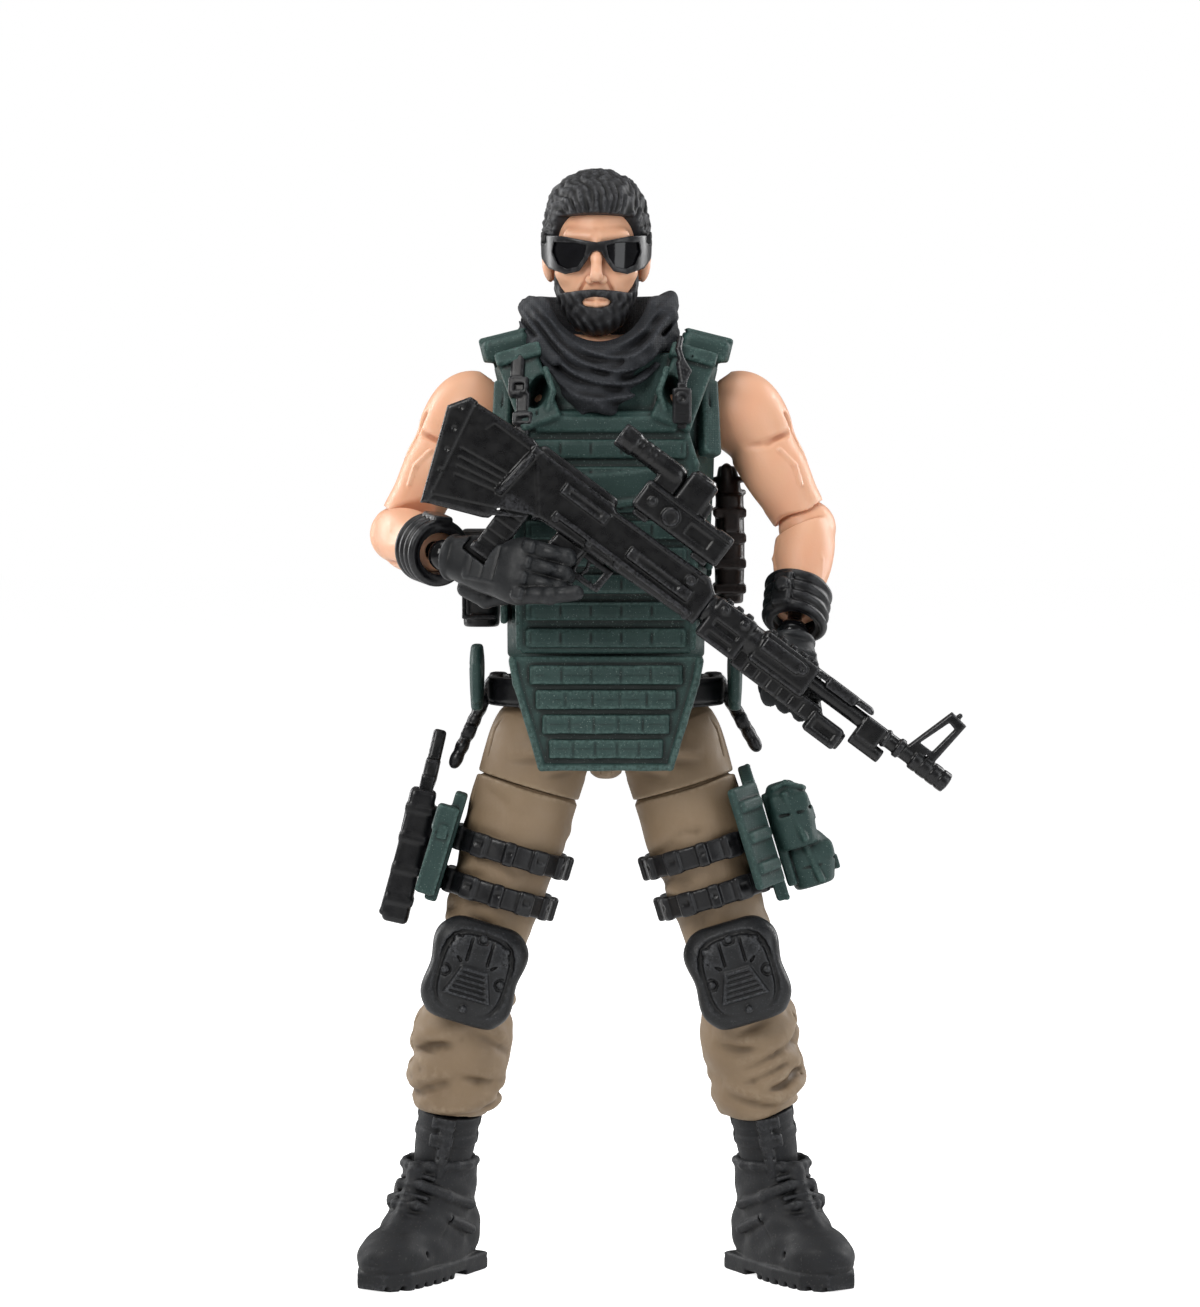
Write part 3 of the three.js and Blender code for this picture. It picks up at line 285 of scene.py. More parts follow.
class Field:
    """A block of space to sculpt in, in millimetres of its own frame."""

    def __init__(self, low, high, step):
        self.step = step * FINE
        self.low = np.array(low, float)
        counts = np.ceil((np.array(high, float) - self.low) / self.step).astype(int) + 1
        self.axes = [self.low[i] + self.step * np.arange(counts[i]) for i in range(3)]
        self.d = np.full(counts, 3.0, np.float32)

    def near(self, low, high, margin=0.9):
        cuts = []
        for axis, a, b in zip(self.axes, low, high):
            first, last = np.searchsorted(axis, [a - margin, b + margin])
            cuts.append(slice(first, last))
        x, y, z = (axis[c].astype(np.float32) for axis, c in zip(self.axes, cuts))
        return tuple(cuts), (x[:, None, None], y[None, :, None], z[None, None, :])

    def add(self, shape, blend=0.0):
        distance, low, high = shape
        cuts, at = self.near(low, high, 0.9 + blend)
        self.d[cuts] = smooth_min(self.d[cuts], distance(*at), blend)
        return self

    def cut(self, shape, blend=0.0):
        distance, low, high = shape
        cuts, at = self.near(low, high, 0.9 + blend)
        self.d[cuts] = -smooth_min(-self.d[cuts], distance(*at), blend)
        return self

    def keep(self, shape, blend=0.0):
        distance = shape[0]
        _, at = self.near(self.low - 1, self.low + 1e3)
        self.d = (-smooth_min(-self.d, -distance(*at), blend)).astype(np.float32)
        return self

    def chain(self, points, radius, blend=0.3, end_radius=None):
        """A fold or cord along the points."""
        last = radius if end_radius is None else end_radius
        steps = len(points) - 1
        for i, (a, b) in enumerate(zip(points, points[1:])):
            r0, r1 = (radius + (last - radius) * k / steps for k in (i, i + 1))
            self.add(rod(a, b, r0, r1), blend)
        return self

    def groove(self, points, radius, blend=0.1):
        for a, b in zip(points, points[1:]):
            self.cut(rod(a, b, radius), blend)
        return self

    def lift(self, amount, low=None, high=None):
        """Moves the surface outwards by amount(x, y, z), over the whole block or a part of it."""
        low = self.low - 1 if low is None else np.array(low, float)
        high = self.low + 1e3 if high is None else np.array(high, float)
        cuts, at = self.near(low, high, 0)
        self.d[cuts] -= amount(*at)
        return self

    def fold(self, path, height, width):
        """A soft ridge of cloth along the path, fading at its ends, with a hollow under it."""
        points = np.array([list(p) for p in path], float)
        low, high = points.min(0) - 2.6 * width, points.max(0) + 2.6 * width
        cuts, at = self.near(low, high, 0)
        for drop, share in ((0, 1.0), (1.35 * width, -0.7)):
            nearest, fade = None, None
            for k, (a, b) in enumerate(zip(points, points[1:])):
                x, y, z = (at[i] - a[i] + (drop if i == 2 else 0) for i in range(3))
                along = b - a
                h = np.clip((x * along[0] + y * along[1] + z * along[2]) / (along @ along), 0, 1)
                gap = (x - along[0] * h) ** 2 + (y - along[1] * h) ** 2 + (z - along[2] * h) ** 2
                here = np.sin(math.pi * (k + h) / (len(points) - 1))
                fade = here if fade is None else np.where(gap < nearest, here, fade)
                nearest = gap if nearest is None else np.minimum(nearest, gap)
            self.d[cuts] -= height * share * fade * np.exp(-nearest / width ** 2)
        return self

    def blurred(self, reach):
        """A box blur, so that hollows and edges can be told apart."""
        n = max(1, int(round(reach / self.step)))
        out = self.d
        for axis in range(3):
            padded = np.concatenate([np.repeat(out.take([0], axis), n + 1, axis), out,
                                     np.repeat(out.take([-1], axis), n, axis)], axis)
            total = np.cumsum(padded, axis, dtype=np.float32)
            size = out.shape[axis]
            high = total.take(range(2 * n + 1, 2 * n + 1 + size), axis)
            low = total.take(range(size), axis)
            out = (high - low) / (2 * n + 1)
        return out

    def sampled(self, values, points):
        """Values of the grid at points, between its nodes."""
        at = (points - self.low) / self.step
        i = np.clip(np.floor(at).astype(int), 0, np.array(self.d.shape) - 2)
        t = np.clip(at - i, 0, 1)
        total = np.zeros(len(points))
        for corner in np.ndindex(2, 2, 2):
            weight = np.prod([t[:, k] if corner[k] else 1 - t[:, k] for k in range(3)], axis=0)
            total += weight * values[i[:, 0] + corner[0], i[:, 1] + corner[1], i[:, 2] + corner[2]]
        return total

    def mesh(self, name, material, body, slot, replaced=(), where=WORLD):
        grid = openvdb.FloatGrid(3.0)
        grid.copyFromArray(self.d)
        points, quads = grid.convertToQuads(isovalue=0.0)
        points = np.asarray(points, float) * self.step + self.low
        relief = self.sampled(self.blurred(0.32) - self.d, points) / 0.1
        to_world = Matrix.Diagonal((MM, MM, MM, 1)) @ Matrix.Translation(CENTRE) @ where
        m = np.array(to_world)
        placed = points @ m[:3, :3].T + m[:3, 3]
        placed, faces, relief = without_crumbs(placed, np.asarray(quads), relief)
        data = bpy.data.meshes.new(name)
        if np.linalg.det(m[:3, :3]) > 0:
            faces = faces[:, ::-1]
        data.from_pydata(placed.tolist(), [], faces.tolist())
        data.update()
        data.attributes.new("relief", "FLOAT", "POINT").data.foreach_set("value", relief.astype(np.float32))
        data.polygons.foreach_set("use_smooth", np.ones(len(data.polygons), bool))
        data.materials.append(material)
        obj = bpy.data.objects.new(name, data)
        bpy.context.scene.collection.objects.link(obj)
        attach(obj, body)
        if replaced:
            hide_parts(*replaced)
        print(f"{name}: {len(data.vertices)} points")
        return obj


# ---------- Materials ----------
class Paint:
    """A painted plastic: a base coat, painted shade in the creases, and lighter raised edges that are
    partly rubbed wear and partly a painted highlight.
    """

    def __init__(self, name, base, roughness, metallic=0.0):
        self.material = bpy.data.materials.new(name)
        self.material.use_nodes = True
        self.tree = self.material.node_tree
        self.shader = self.tree.nodes["Principled BSDF"]
        self.shader.inputs["Metallic"].default_value = metallic
        self.shader.inputs["Roughness"].default_value = roughness
        self.shader.inputs["Specular IOR Level"].default_value = 0.4
        self.roughness = roughness
        self.position = self.tree.nodes.new("ShaderNodeTexCoord").outputs["Object"]
        self.colour = self.constant(base)
        self.bumps = None

    def node(self, kind, **settings):
        made = self.tree.nodes.new(kind)
        for key, value in settings.items():
            setattr(made, key, value)
        return made

    def join(self, source, target):
        self.tree.links.new(source, target)

    def constant(self, colour):
        made = self.node("ShaderNodeRGB")
        made.outputs[0].default_value = (*colour, 1)
        return made.outputs[0]

    def noise(self, size_mm, detail=3.0, stretch=(1, 1, 1)):
        """Noise whose grain is about size_mm."""
        mapping = self.node("ShaderNodeMapping")
        mapping.inputs["Scale"].default_value = [s / (size_mm * MM) for s in stretch]
        self.join(self.position, mapping.inputs["Vector"])
        made = self.node("ShaderNodeTexNoise")
        made.inputs["Scale"].default_value = 1.0
        made.inputs["Detail"].default_value = detail
        self.join(mapping.outputs[0], made.inputs["Vector"])
        return made.outputs["Fac"]

    def ramp(self, value, low, high, to_low=0.0, to_high=1.0):
        made = self.node("ShaderNodeMapRange", clamp=True)
        for key, number in zip(("From Min", "From Max", "To Min", "To Max"), (low, high, to_low, to_high)):
            made.inputs[key].default_value = number
        self.join(value, made.inputs["Value"])
        return made.outputs[0]

    def times(self, a, b, operation="MULTIPLY"):
        made = self.node("ShaderNodeMath", operation=operation)
        for socket, value in zip(made.inputs, (a, b)):
            if isinstance(value, (int, float)):
                socket.default_value = value
            else:
                self.join(value, socket)
        return made.outputs[0]

    def coat(self, colour, amount):
        """Mixes a colour over what is there, by amount, a socket or a number."""
        mix = self.node("ShaderNodeMix", data_type="RGBA")
        self.join(self.colour, mix.inputs["A"])
        mix.inputs["B"].default_value = (*colour, 1)
        if isinstance(amount, (int, float)):
            mix.inputs["Factor"].default_value = amount
        else:
            self.join(amount, mix.inputs["Factor"])
        self.colour = mix.outputs["Result"]
        return self

    def relief(self):
        return self.node("ShaderNodeAttribute", attribute_name="relief").outputs["Fac"]

    # Painted shade: darker colour in the hollows and creases, where shade would fall.
    def paint_shade_in_hollows(self, colour, strength=1.0, reach=1.0):
        amount = self.ramp(self.relief(), -0.05 * reach, -0.55 * reach, 0, strength)
        return self.coat(colour, amount)

    def wear_and_painted_highlight(self, colour, strength=1.0, reach=1.0, grain_mm=0.35):
        """Lighter colour on the raised edges, in patches: partly rubbed wear, partly a painted highlight.
        """
        edge = self.ramp(self.relief(), 0.12 * reach, 0.75 * reach)
        patches = self.ramp(self.noise(grain_mm, 2.0), 0.36, 0.62)
        return self.coat(colour, self.times(self.times(edge, patches), strength))

    def mottled(self, colour, strength=0.3, size_mm=3.0):
        return self.coat(colour, self.ramp(self.noise(size_mm), 0.42, 0.68, 0, strength))

    def speckled(self, colour, size_mm=0.18, share=0.72, strength=0.6):
        return self.coat(colour, self.ramp(self.noise(size_mm, 0.0), share, share + 0.04, 0, strength))

    def grain(self, size_mm, depth_mm, detail=3.0, stretch=(1, 1, 1)):
        bump = self.node("ShaderNodeBump")
        bump.inputs["Strength"].default_value = 1.0
        bump.inputs["Distance"].default_value = depth_mm * MM
        self.join(self.noise(size_mm, detail, stretch), bump.inputs["Height"])
        if self.bumps:
            self.join(self.bumps, bump.inputs["Normal"])
        self.bumps = bump.outputs["Normal"]
        return self

    def weave(self, pitch_mm, depth_mm):
        """Crossed threads along the object's axes."""
        heights = []
        for direction in ("X", "Z"):
            wave = self.node("ShaderNodeTexWave", bands_direction=direction, wave_profile="SIN")
            wave.inputs["Scale"].default_value = 0.314 / (pitch_mm * MM)
            wave.inputs["Distortion"].default_value = 0.6
            self.join(self.position, wave.inputs["Vector"])
            heights.append(wave.outputs["Fac"])
        bump = self.node("ShaderNodeBump")
        bump.inputs["Distance"].default_value = depth_mm * MM
        self.join(self.times(*heights), bump.inputs["Height"])
        if self.bumps:
            self.join(self.bumps, bump.inputs["Normal"])
        self.bumps = bump.outputs["Normal"]
        return self

    def done(self, uneven=0.08):
        self.join(self.colour, self.shader.inputs["Base Color"])
        if uneven:
            low, high = self.roughness - uneven, self.roughness + uneven
            self.join(self.ramp(self.noise(1.2), 0.35, 0.65, low, high), self.shader.inputs["Roughness"])
        if self.bumps:
            self.join(self.bumps, self.shader.inputs["Normal"])
        return self.material


# In every paint below, the darker colour in the hollows is painted shade, and the lighter colour on the
# raised edges is a painted highlight mixed with rubbed wear.
def make_paints():
    paints = {}
    skin = Paint("skin_paint", (0.78, 0.43, 0.27), 0.42)
    skin.mottled((0.80, 0.37, 0.23), 0.3, 4.0).paint_shade_in_hollows((0.40, 0.13, 0.06), 0.7, 1.1)
    skin.wear_and_painted_highlight((0.90, 0.62, 0.46), 0.3, 1.0, 0.8)
    skin.shader.inputs["Subsurface Weight"].default_value = 0.10
    skin.shader.inputs["Subsurface Radius"].default_value = (0.0007, 0.0003, 0.00015)
    paints["skin"] = skin.grain(0.25, 0.010).done()

    peg = Paint("skin_peg_plastic", (0.80, 0.29, 0.10), 0.4)
    paints["skin_peg"] = peg.mottled((0.70, 0.24, 0.08), 0.3).paint_shade_in_hollows((0.36, 0.09, 0.03), 0.6).done()

    hair = Paint("hair_paint", (0.013, 0.013, 0.015), 0.6)
    hair.paint_shade_in_hollows((0.002, 0.002, 0.002), 0.9).wear_and_painted_highlight((0.075, 0.078, 0.085), 0.6, 1.0, 0.3)
    paints["hair"] = hair.grain(0.12, 0.02, 2.0, (1, 0.35, 0.35)).done()

    lens = Paint("lens_gloss", (0.003, 0.003, 0.004), 0.10)
    paints["lens"] = lens.mottled((0.006, 0.006, 0.008), 0.5, 1.0).done(0.03)
    rim = Paint("rim_paint", (0.003, 0.003, 0.004), 0.34)
    paints["rim"] = rim.wear_and_painted_highlight((0.16, 0.16, 0.17), 0.3, 2.2, 0.6).done(0.05)

    scarf = Paint("scarf_paint", (0.015, 0.017, 0.021), 0.8)
    scarf.mottled((0.024, 0.026, 0.031), 0.5, 1.5).paint_shade_in_hollows((0.002, 0.002, 0.003), 0.9)
    scarf.wear_and_painted_highlight((0.060, 0.064, 0.074), 0.55, 1.2, 0.25).speckled((0.10, 0.10, 0.115), 0.14, 0.73, 0.25)
    paints["scarf"] = scarf.weave(0.22, 0.03).done()

    vest = Paint("vest_paint", (0.016, 0.042, 0.038), 0.58)
    vest.mottled((0.024, 0.055, 0.049), 0.5, 1.8).paint_shade_in_hollows((0.002, 0.006, 0.005), 0.9)
    vest.wear_and_painted_highlight((0.075, 0.14, 0.125), 0.6, 1.2, 0.3).speckled((0.22, 0.29, 0.27), 0.12, 0.75, 0.35)
    paints["vest"] = vest.weave(0.16, 0.012).grain(0.2, 0.012).done()

    trousers = Paint("trouser_paint", (0.235, 0.165, 0.10), 0.6)
    trousers.mottled((0.27, 0.195, 0.125), 0.6, 3.0).mottled((0.16, 0.105, 0.06), 0.3, 6.0)
    trousers.paint_shade_in_hollows((0.06, 0.036, 0.018), 0.75, 1.7).wear_and_painted_highlight((0.37, 0.29, 0.20), 0.5, 1.0, 0.5)
    paints["trousers"] = trousers.weave(0.12, 0.008).grain(0.3, 0.012).done()

    gear = Paint("gear_paint", (0.0045, 0.0045, 0.0055), 0.36)
    gear.mottled((0.008, 0.008, 0.010), 0.5, 1.0).paint_shade_in_hollows((0.0008, 0.0008, 0.001), 0.8)
    paints["gear"] = gear.wear_and_painted_highlight((0.045, 0.047, 0.052), 0.5, 1.3, 0.3).grain(0.15, 0.012).done()

    pad = Paint("pad_paint", (0.0055, 0.006, 0.007), 0.46)
    pad.mottled((0.011, 0.012, 0.014), 0.6, 1.4).paint_shade_in_hollows((0.0008, 0.0008, 0.001), 0.8)
    pad.wear_and_painted_highlight((0.065, 0.068, 0.076), 0.6, 1.2, 0.22).speckled((0.09, 0.09, 0.10), 0.16, 0.73, 0.25)
    paints["pad"] = pad.grain(0.18, 0.02).done()

    gun = Paint("gun_paint", (0.0035, 0.0035, 0.004), 0.3)
    gun.mottled((0.006, 0.006, 0.007), 0.5, 0.9).paint_shade_in_hollows((0.0006, 0.0006, 0.0008), 0.8)
    paints["gunmetal"] = gun.wear_and_painted_highlight((0.055, 0.056, 0.062), 0.55, 1.3, 0.25).grain(0.12, 0.010).done()

    glove = Paint("glove_paint", (0.007, 0.008, 0.0095), 0.5)
    glove.mottled((0.012, 0.013, 0.015), 0.5, 1.0).paint_shade_in_hollows((0.001, 0.001, 0.0012), 0.9)
    paints["glove"] = glove.wear_and_painted_highlight((0.042, 0.045, 0.050), 0.5, 1.2, 0.3).grain(0.16, 0.014).done()

    boot = Paint("boot_paint", (0.007, 0.0075, 0.009), 0.62)
    boot.mottled((0.013, 0.014, 0.017), 0.6, 1.2).paint_shade_in_hollows((0.001, 0.001, 0.0012), 0.9)
    boot.wear_and_painted_highlight((0.060, 0.062, 0.068), 0.55, 1.2, 0.25).speckled((0.085, 0.08, 0.075), 0.2, 0.73, 0.22)
    paints["boot"] = boot.grain(0.2, 0.02).done()

    ball_black = Paint("joint_gloss", (0.003, 0.003, 0.0035), 0.16)
    paints["peg"] = ball_black.mottled((0.006, 0.006, 0.007), 0.5, 1.0).paint_shade_in_hollows((0.0006, 0.0006, 0.0006),
        0.6).done(0.04)

    canister = Paint("canister_paint", (0.013, 0.008, 0.007), 0.4)
    canister.mottled((0.024, 0.013, 0.010), 0.6, 1.5).paint_shade_in_hollows((0.0015, 0.001, 0.001), 0.9)
    paints["canister"] = canister.wear_and_painted_highlight((0.06, 0.045, 0.042), 0.5, 1.2, 0.3).grain(0.16, 0.012).done()

    # The lighter raised edges of the watch glass are a painted reflection.
    glass = Paint("watch_glass", (0.03, 0.033, 0.036), 0.25)
    paints["watch"] = glass.paint_shade_in_hollows((0.004, 0.004, 0.004), 0.8).wear_and_painted_highlight((0.14, 0.15, 0.155), 0.5).done()
    return paints


# ---------- Head ----------
SKULL = (0, 0.4, 4.9), (4.4, 5.5, 5.2)
JAW = (0, -1.8, 0.3), (3.5, 3.8, 4.2)


def grown(shape, by):
    centre, radii = shape
    return ellipsoid(centre, [r + by for r in radii])


def make_head(paints):
    where = Matrix.Translation(place("head_turn"))
    skin = Field((-6.2, -8, -5), (6.2, 7, 11.0), 0.12)
    skin.add(grown(SKULL, 0)).add(grown(JAW, 0), 1.6)
    skin.cut(ellipsoid((0, -0.2, -4.6), (3.2, 3.0, 2.4)), 0.6)
    for s in (-1, 1):
        skin.add(ellipsoid((s * 2.5, -3.6, 1.3), (1.4, 1.4, 1.2)), 0.9)
        skin.add(rod((s * 0.5, -4.95, 4.45), (s * 2.6, -4.4, 4.6), 0.5), 0.6)
        skin.cut(ellipsoid((s * 1.7, -5.7, 3.0), (1.1, 0.8, 0.7)), 0.4)
        skin.add(ellipsoid((s * 1.7, -4.5, 3.0), (0.8, 0.62, 0.5)), 0.15)
        skin.add(ellipsoid((s * 4.6, 0.7, 2.3), (0.62, 1.2, 1.95), (0, s * 9, 0)), 0.25)
        skin.cut(ellipsoid((s * 5.2, 0.5, 2.5), (0.38, 0.68, 1.2)), 0.15)
        skin.add(rod((s * 4.9, 0.7, 3.3), (s * 4.9, 1.0, 1.8), 0.17), 0.15)
        skin.add(ball((s * 0.62, -5.85, 0.5), 0.42), 0.2)
        skin.cut(ball((s * 0.36, -6.3, 0.17), 0.17), 0.08)
        skin.groove([(s * 0.95, -5.6, 0.7), (s * 1.5, -5.0, -0.5)], 0.13, 0.3)
    skin.chain([(0, -5.15, 4.0), (0, -5.8, 2.5), (0, -6.5, 1.0)], 0.42, 0.35, 0.55)
    skin.add(ball((0, -6.45, 0.8), 0.55), 0.2)
    lip = [(-1.25, -4.9, -1.3), (-0.5, -5.3, -1.1), (0, -5.34, -1.17), (0.5, -5.3, -1.1),
        (1.25, -4.9, -1.3)]
    skin.chain(lip, 0.25, 0.2)
    skin.chain([(-0.95, -4.9, -1.75), (0, -5.3, -1.8), (0.95, -4.9, -1.75)], 0.3, 0.2)
    skin.groove([(-1.3, -5.1, -1.43), (0, -5.62, -1.45), (1.3, -5.1, -1.43)], 0.08, 0.1)
    skin.cut(ball((0, 0, 0), 1.9)).cut(disc((0, 0, -6), (0, 0, 0), 1.8))
    skin.mesh("face_and_ears", paints["skin"], "head", "skin", ["head"], where)
    make_hair(paints, where)
    make_glasses(paints, where)


def make_hair(paints, where):
    hair = Field((-6.2, -7.5, -1.8), (6.2, 7.4, 11.9), 0.11)
    hair.add(grown(SKULL, 0.62)).add(ellipsoid((0, -0.9, 7.3), (4.5, 5.2, 3.5)), 0.8)
    hair.add(ellipsoid((0, 1.8, 1.2), (4.3, 3.5, 3.2)), 0.8)

    def strands(x, y, z):
        across = np.arctan2(x + 0.5 * np.sin(y * 0.8), z - 2.0)
        swept = across * 9 + y * 0.55
        wavy = np.sin(swept * 2.3 + 1.6 * np.sin(y * 1.9 + z))
        locks = wavy * np.sin(y * 1.9 + across * 8 + 1.1 * np.sin(z * 1.8))
        fine = np.sin(swept * 6.5 + 2.2 * np.sin(y * 2.6 + across * 4) + z * 1.6)
        rough = np.sin(x * 5.1 + 2 * np.sin(y * 3.3))
        return 0.14 * locks + 0.085 * fine + 0.05 * rough * np.sin(y * 4.7 + z * 2.9)

    hair.lift(strands)
    hairline = [(-5.0, 6.5), (-7.4, 7.0), (-6.5, 12.2), (8, 12.2), (8, -1.4), (2.6, -1.5), (2.3, 0.8),
        (2.0, 3.8),
                (0.6, 4.9), (-0.9, 4.2), (-1.3, 1.4), (-2.4, 1.2), (-2.6, 4.0), (-3.3, 5.4), (-3.9, 6.4)]
    hair.keep(slab(hairline, -8, 8, 0.4, "yz"), 0.2)
    hair.cut(grown(SKULL, -0.5))
    hair.mesh("short_hair", paints["hair"], "head", "hair", ["hair"], where)

    beard = Field((-5.2, -7.8, -5.4), (5.2, 1.6, 3.2), 0.11)
    beard.add(grown(JAW, 0.42)).add(ellipsoid((0, -3.1, -2.6), (2.6, 2.5, 2.1)), 0.9)
    beard.add(grown(SKULL, 0.2), 0.8)
    moustache = [(-1.9, -4.6, -1.6), (-1.0, -5.45, -0.75), (0, -5.7, -0.5), (1.0, -5.45, -0.75),
        (1.9, -4.6, -1.6)]
    beard.chain(moustache, 0.42, 0.3)

    def whiskers(x, y, z):
        across = np.arctan2(x, 1.5 - y)
        fine = np.sin(across * 40 + 1.1 * np.sin(z * 1.7) + np.sin(z * 3.1 + across * 6))
        return 0.06 * fine + 0.06 * np.sin(z * 4.6 + across * 11) * np.sin(across * 27)

    beard.lift(whiskers)
    shave = [(-1.2, 2.8), (-2.3, 2.8), (-2.6, 0.6), (-3.7, -0.7), (-4.7, -0.62), (-8, -0.1), (-8, -5.2),
        (0, -5.2),
             (0.6, -2), (-0.6, 0.6)]
    beard.keep(slab(shave, -6, 6, 0.3, "yz"), 0.2)
    beard.cut(ellipsoid((0, -5.8, -1.62), (1.5, 1.6, 0.5)), 0.15)
    beard.cut(grown(JAW, -0.6)).cut(ellipsoid((0, -0.2, -4.2), (2.8, 2.6, 2.4)), 0.3)
    beard.mesh("beard", paints["hair"], "head", "hair", [], where)


def wrap(grow, deep=0.0):
    """The curved sheet the sunglasses are cut from."""
    rows = [[6.4, 4.85, 5.75, 0, 0.1], [3.2, 4.85, 5.95, 0, 0.1], [0.2, 4.65, 5.65, 0, 0.1]]
    return limb(rows, 2.3, 0.3, grow - deep)


def mirrored(half):
    """A closed outline from its right half, which starts and ends on the middle line."""
    return half + [(-x, z) for x, z in half[-2:0:-1]]


def make_glasses(paints, where):
    outer = mirrored([(0, 3.95), (1.2, 4.15), (3.2, 4.55), (5.6, 4.75), (5.6, 3.2), (4.5, 1.6), (2.9, 1.0),
        (1.6, 1.25),
                      (0.9, 2.2), (0.45, 3.0), (0, 3.15)])
    rim = Field((-6, -7.6, 0.4), (6, 3.6, 6.2), 0.09)
    rim.add(wrap(0.42)).cut(wrap(-0.1))
    rim.keep(slab(outer, -9, -1.2, 0.2), 0.1)
    eye = [(0.95, 3.65), (2.0, 3.9), (3.95, 4.0), (4.1, 3.1), (3.6, 1.9), (2.75, 1.5), (1.75, 1.7),
        (1.15, 2.6)]
    for s in (-1, 1):
        rim.cut(slab([(s * x, z) for x, z in eye], -9, -3.0, 0.2), 0.06)
        rim.add(box((s * 4.95, -1.3, 4.3), (0.5, 3.6, 1.15), 0.18, (-6, 0, 0)), 0.12)
        rim.add(box((s * 4.9, 0.6, 4.4), (0.4, 3.2, 0.7), 0.15, (4, 0, 0)), 0.12)
        rim.groove([(s * 5.3, -2.9, 4.4), (s * 5.25, -0.6, 4.35)], 0.1, 0.06)
    rim.mesh("glasses_rim", paints["rim"], "head", "lens", [], where)

    lens = Field((-6, -7.4, 0.6), (6, -1.4, 5.4), 0.09)
    lens.add(wrap(0.2)).cut(wrap(-0.3))
    lens.keep(slab([(x * 0.99, 2.9 + (z - 2.9) * 0.95) for x, z in outer], -9, -0.8, 0.2), 0.1)
    lens.mesh("wrap_lens", paints["lens"], "head", "lens", ["sunglasses"], where)


# ---------- Scarf ----------
NECK = (-0.8, 0.3)
SCARF_ROWS = [[91.7, 6.7, 6.0, -0.7, 0.7], [90.4, 7.2, 6.7, -0.7, 0.4], [88.2, 7.1, 7.2, -0.7, 0.0],
              [85.9, 6.3, 6.8, -0.8, -1.1], [84.0, 5.0, 5.6, -0.8, -3.4], [82.2, 3.4, 3.6, -0.9, -6.2],
              [80.4, 1.4, 1.3, -0.9, -8.9]]


def make_scarf(paints):
    cloth = Field((-9.6, -12.0, 79.4), (8.4, 9.0, 92.8), 0.13)
    cloth.add(limb(SCARF_ROWS, soft=0.7))
    cloth.chain([(-7.5, 1.5, 90.6), (-6.4, -4.4, 89.0), (-3.6, -7.6, 85.8), (-0.4, -9.2, 83.6)], 0.75, 0.9,
        0.5)
    cloth.chain([(6.1, 2.0, 91.4), (5.9, -3.6, 89.8), (3.8, -7.2, 86.6), (0.6, -9.0, 83.9)], 0.8, 0.9, 0.5)
    cloth.chain([(-7.2, -2.0, 88.2), (-5.4, -6.2, 85.6), (-2.6, -8.8, 82.8), (-0.6, -9.6, 81.5)], 0.55, 0.8,
        0.4)
    cloth.chain([(6.3, -1.4, 88.6), (4.4, -6.0, 85.2), (1.8, -8.7, 82.6), (-0.4, -9.6, 81.4)], 0.55, 0.8,
        0.4)

    def folds(x, y, z):
        across = x - NECK[0]
        hang = z - 0.10 * across ** 2 + 0.20 * across + 0.35 * np.sin(0.5 * across + 0.6 * z)
        path = np.where(y < 1.5, hang, z + 0.2 * across)
        wave = np.sin(2.15 * path + 1.3 * np.sin(0.45 * across + 0.5 * z) + 0.6 * np.sin(0.5 * y))
        second = np.sin(4.3 * path + 1.9 * np.sin(0.7 * across - 0.4 * z))
        ridge = 1 - 2.0 * np.abs(wave) ** 0.9
        strength = np.clip((91.4 - z) / 3.5, 0.15, 1)
        return strength * (0.25 * ridge + 0.12 * second + 0.05 * np.sin(2.2 * across + 1.4 * z))

    cloth.lift(folds)
    cloth.cut(limb([[93.8, 6.2, 5.9, -0.8, 0.3], [90.6, 5.6, 5.3, -0.8, 0.3], [88.4, 4.7, 4.7, -0.8, 0.4],
                    [86.9, 3.7, 3.7, -0.6, 0.5], [78, 3.7, 3.6, -0.6, 0.8]], soft=0.1), 0.4)
    cloth.cut(box((-0.8, -11.4, 94.6), (18, 13, 8), 0.3, (17, 0, 0)), 0.6)
    cloth.cut(ellipsoid((-0.6, -7.2, 92.0), (5.3, 7.0, 5.1)), 0.9)
    cloth.cut(vest_body(0.12), 0.1)
    for s in (-1, 1):
        roll = [(s * 6.9 - 0.7, 1.2, 88.2), (s * 6.7 - 0.7, -2.6, 87.5), (s * 5.5 - 0.7, -5.6, 87.0),
            (s * 4.0 - 0.7, -7.9, 85.6)]
        cloth.chain(roll, 0.8, 0.5, 0.55)
    cloth.mesh("cloth_scarf", paints["scarf"], "torso", "scarf_cloth", ["scarf"])


# ---------- Vest ----------
VEST_ROWS = [[86.3, 10.7, 6.4, 0, 0.2], [82.0, 10.2, 7.5, 0, 0.0], [77.0, 10.2, 8.2, 0, -0.2],
    [70.0, 9.9, 8.0, 0, -0.2],
             [64.0, 9.4, 7.5, 0, -0.2], [57.6, 9.3, 7.1, 0, -0.2]]
CHEST_ROWS = [[88.0, 3.2, 3.0, -0.5, 0.6], [86.4, 4.4, 3.7, -0.3, 0.5], [84.6, 7.4, 4.6, 0, 0.4],
    [82.0, 8.9, 5.4, 0, 0.2],
              [77.0, 9.2, 6.0, 0, 0.0], [71.0, 8.4, 5.6, 0, 0.2], [65.0, 7.7, 5.1, 0, 0.2], [58.2, 8.0, 4.9,
                  0, 0.2]]
COLLAR = disc((-0.4, 0, 80), (-0.4, 0.0, 92), 5.2, 0.3)


